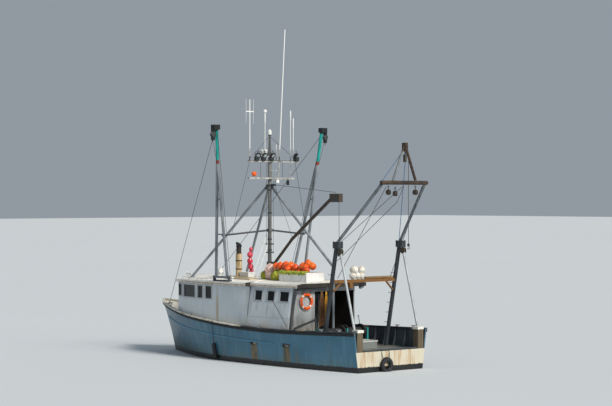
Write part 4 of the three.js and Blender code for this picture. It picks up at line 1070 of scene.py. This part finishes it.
# Roof furniture: planks, tote, vents, horns and rails
planks = Shape()
plank_z = roof_at(0.8, 1.35)
planks.block((-0.03, 1.24, plank_z + 0.004), (1.58, 1.46, plank_z + 0.05), 0.008)
planks.block((0.05, 1.0, plank_z + 0.03), (1.4, 1.2, plank_z + 0.075), 0.008)
planks.done("roof_planks", BOARD)
TOTE_X, TOTE_Y = 0.9, 0.81
TOTE_PROFILE = ((0, 0), (0.02, 0.005), (0.21, 0.03), (0.215, 0.045), (0.245, 0.045), (0.245, 0.02),
                (0.03, -0.01), (0.028, -0.03))
tote_z = roof_at(TOTE_X, TOTE_Y) + 0.006
Shape().rings([[(TOTE_X + x * (0.27 + grow), TOTE_Y + y * (0.16 + grow), tote_z + z) for x, y in (
    (-1, -1), (0, -1), (1, -1), (1, 0), (1, 1), (0, 1), (-1, 1), (-1, 0))]
    for z, grow in TOTE_PROFILE]).done("roof_tote", WHITE_TRIM)
vents = Shape()
for x, y, size in ((1.1, 1.72, 0.07), (0.72, 1.74, 0.06), (3.1, 0.55, 0.09), (3.1, -0.55, 0.09),
                   (1.9, -1.1, 0.1)):
    vents.turned((x, y, roof_at(x, y) - 0.004), UP, [
        (0, size * 0.8), (0.012, size * 0.6), (size * 1.6, size * 0.55), (size * 1.62, size * 1.3),
        (size * 1.9, size * 1.25), (size * 2.4, size * 0.5), (size * 2.5, 0.004)], 18)
for y in (0.9, -0.9):
    z = roof_at(4.75, y)
    vents.turned((4.62, y, z + 0.09), (1, 0, 0.06), [(0, 0.02), (0.14, 0.025), (0.26, 0.05), (0.3, 0.075),
                                                     (0.305, 0.05)], 16)
    vents.block((4.68, y - 0.02, z - 0.004), (4.74, y + 0.02, z + 0.07), 0.006)
for hand in (1, -1):
    line = []
    for x in (4.3, 3.6, 2.9, 2.2, 1.7):
        y = from_side(["wheelhouse_roof"], x, 3.2, hand, 4)[0].y - 0.12 * hand
        line.append(Vector((x, y, roof_at(x, y) + 0.07)))
        vents.tube([line[-1] - UP * 0.075, line[-1]], 0.014)
    vents.tube(line, 0.015)
vents.done("roof_fittings", WHITE_TRIM)
STACK_X, STACK_Y = 1.35, 0.9
cap = Shape()
cap.turned((STACK_X, STACK_Y, 4.7), UP, [(0, 0.106), (0.002, 0.118), (0.06, 0.118), (0.064, 0.1)], 20)
cap.rings([[(STACK_X + 0.13 * cos(t) + rise * 0.4, STACK_Y + 0.13 * sin(t),
             4.79 + rise + 0.1 * cos(t)) for t in turns(16)] for rise in (0, 0.012)])
cap.tube([(1.48, STACK_Y, 4.72), (1.5, STACK_Y, 4.88), (1.46, STACK_Y, 4.9)], 0.01, 6)
for z in (3.75, 4.1):
    cap.turned((STACK_X, STACK_Y, z), UP, mirrored(0.043, (0, 0.12), (0.003, 0.139)), 20)
cap.done("stack_cap", LAMP_BODY)

# Edge of netting over the gear box, and the box's lashings
EDGE_X, FOLD_STEP, FOLDS = -3.37, 0.0195, 84
folds = []
for k in range(FOLDS):
    x = EDGE_X + FOLD_STEP * k
    fold = noise.noise(Vector((k * 0.22, 0, 3)))
    ripple = 0.011 * sin(k * 0.95) + 0.012 * noise.noise(Vector((k * 0.5, 7, 0)))
    hem = 3.665 + 0.075 * fold + 0.02 * noise.noise(Vector((k * 0.9, 1, 5)))
    crest = 3.8 + 0.02 * fold + 0.5 * ripple
    folds.append([(x, y, z) for y, z in (
        (1.07, 3.755), (1.08, crest - 0.012), (1.15, crest + 0.008), (1.23, crest + 0.004),
        (1.285 + ripple, crest - 0.015), (1.302 + ripple, crest - 0.04),
        (1.3 + ripple, 0.5 * (crest + hem)), (1.296 + 1.4 * ripple, hem + 0.008),
        (1.286 + 1.4 * ripple, hem), (1.278 + ripple, hem + 0.012), (1.272, 3.76), (1.2, 3.767))])
fringe = Shape().rings(folds).done("net_fringe", NET_LIME, sharp=70)
lashings = Shape()
for x in (-3.1, -2.5, -1.95):
    lashings.tube([(x, 1.262, 3.42), (x, 1.262, 3.762), (x, 1.24, 3.768)], 0.01, 6)
for x in (-3.38, -1.73):
    lashings.block((x - 0.03, 1.246, 3.4), (x + 0.03, 1.266, 3.74), 0.006)
lashings.done("box_lashings", WHITE_TRIM)

# Winch: wound wire, flange bolts, end bolts and levers
DRUM_X, DRUM_Z, WOUND, BOLTS, WINDINGS, STEPS = -4.15, 1.33, 0.205, 0.28, 33, 14
WOUND_FROM, WOUND_WIDE = 0.16, 0.77
for side, hand in BOTH:
    wound = Shape()
    wire = []
    for k in range(WINDINGS * STEPS + 1):
        t = k * tau / STEPS
        wire.append((DRUM_X + WOUND * cos(t), hand * (WOUND_FROM + WOUND_WIDE * k / (WINDINGS * STEPS)),
                     DRUM_Z + WOUND * sin(t)))
    wound.tube(wire, 0.0125, 5)
    for y in (0.125, 0.955):
        for t in turns(8):
            wound.turned((DRUM_X + BOLTS * cos(t), hand * y - 0.012, DRUM_Z + BOLTS * sin(t)),
                         PORT, mirrored(0.024, (0, 0.006), (0.001, 0.018)), 6)
    wound.done(f"{side}_wound_wire", WIRE, f"{side}_winch_drum")
levers = Shape()
for y in (-1.1, 1.1):
    for x in (DRUM_X - 0.22, DRUM_X + 0.22):
        levers.turned((x, y - 0.045, 1.2), PORT, mirrored(0.09, (0, 0.012), (0.001, 0.026)), 6)
    levers.tube([(-3.95, y * 1.045, 1.42), (-3.9, y * 1.06, 1.75), (-3.84, y * 1.06, 1.95)], 0.014)
    levers.ball((-3.84, y * 1.06, 1.96), 0.03, sides=12)
levers.done("winch_levers", DARK)

# Hatch handles, hinges and gasket strips, and the door's panes and hinges
hatch = Shape()
for y in (-0.32, 0.32):
    hatch.tube([(-5.62, y - 0.07, 1.108), (-5.62, y - 0.07, 1.15), (-5.62, y + 0.07, 1.15),
                (-5.62, y + 0.07, 1.108)], 0.011)
    hatch.block((-5.0, y - 0.05, 1.108), (-4.875, y + 0.05, 1.118), 0.003)
for x in (-5.68, -4.92):
    hatch.block((x - 0.02, -0.45, 1.107), (x + 0.02, 0.45, 1.117), 0.004)
hatch.done("hatch_fittings", DARK, "hatch_cover")
door = Shape()
for y in (-1.206, -1.156):
    door.block((-1.28, y, 1.95), (-0.9, y + 0.006, 2.5), 0.004)
for z in (1.2, 2.4):
    door.block((-0.86, -1.164, z - 0.045), (-0.68, -1.152, z + 0.045), 0.004)
door.done("door_panels", ALUMINIUM, "cabin_door")

# Tread and ropes of the tyre fender at the transom
TYRE_Y, TYRE_Z, TREAD = 0.3, 0.24, 0.314
tyre = Shape()
for hand in (-1, 1):
    y = TYRE_Y + 0.2 * hand
    tyre.tube([(-7.06, TYRE_Y + 0.16 * hand, 0.45), (-7.02, y, 0.7), (-6.99, y, 0.84), (-6.9, y, 0.815)],
              0.012, 6)
    tyre.turned((-6.9, y, 0.8), UP, [(0, 0.04), (0.012, 0.04), (0.02, 0.015), (0.03, 0.003)], 12)
for t in turns(36):
    for x in (-7.12, -7.05):
        tyre.ball((x, TYRE_Y + TREAD * cos(t), TYRE_Z + TREAD * sin(t)), 0.014, (1.6, 1, 1), 6)
tyre.done("tyre_lines", BLACK)

# Stern roller and its brackets
ROLLER_Y = 1.42
stern = Shape().tube([(-6.96, -ROLLER_Y, 0.84), (-6.96, ROLLER_Y, 0.84)], 0.035, 12)
for y in (-ROLLER_Y, -0.47, 0.47, ROLLER_Y):
    stern.block((-7.0, y - 0.03, 0.8), (-6.91, y + 0.03, 0.88), 0.008)
stern.done("stern_roller", DARK)

# Searchlight's glass and yoke; steps on the gallows
LIGHT_Y, POST_FOOT_X, POST_LEAN, DECK_Z = 1.2, -4.92, 0.193, 0.8
light = Shape()
light.turned((2.46, LIGHT_Y, 3.69), AHEAD, [(0, 0.055), (0.004, 0.07), (0.02, 0.07), (0.024, 0.05)], 18)
for y in (1.33, 1.07):
    light.tube([(2.3, LIGHT_Y, 3.56), (2.3, y, 3.6), (2.3, y, 3.69)], 0.012)
light.done("searchlight_trim", ALUMINIUM)
steps = Shape()
for hand in (1, -1):
    for k in range(7):
        z = 1.35 + 0.4 * k
        x = POST_FOOT_X - (z - DECK_Z) * POST_LEAN
        steps.tube([(x + dx, POST_Y * hand + dy, z) for dx, dy in (
            (0.08, -0.1), (0.17, -0.1), (0.17, 0.1), (0.08, 0.1))], 0.01, 6)
steps.done("gallows_steps", DARK)

floor_look = Look("studio_floor", 0.8)
floor_look = floor_look.paint(floor_look.mix(floor_look.noise(0.05), rgb("#c9cfd3"), rgb("#cdd3d7")))
bpy.ops.mesh.primitive_plane_add(size=900)
floor = bpy.context.object
floor.name = "studio_floor"
floor.data.materials.append(floor_look)
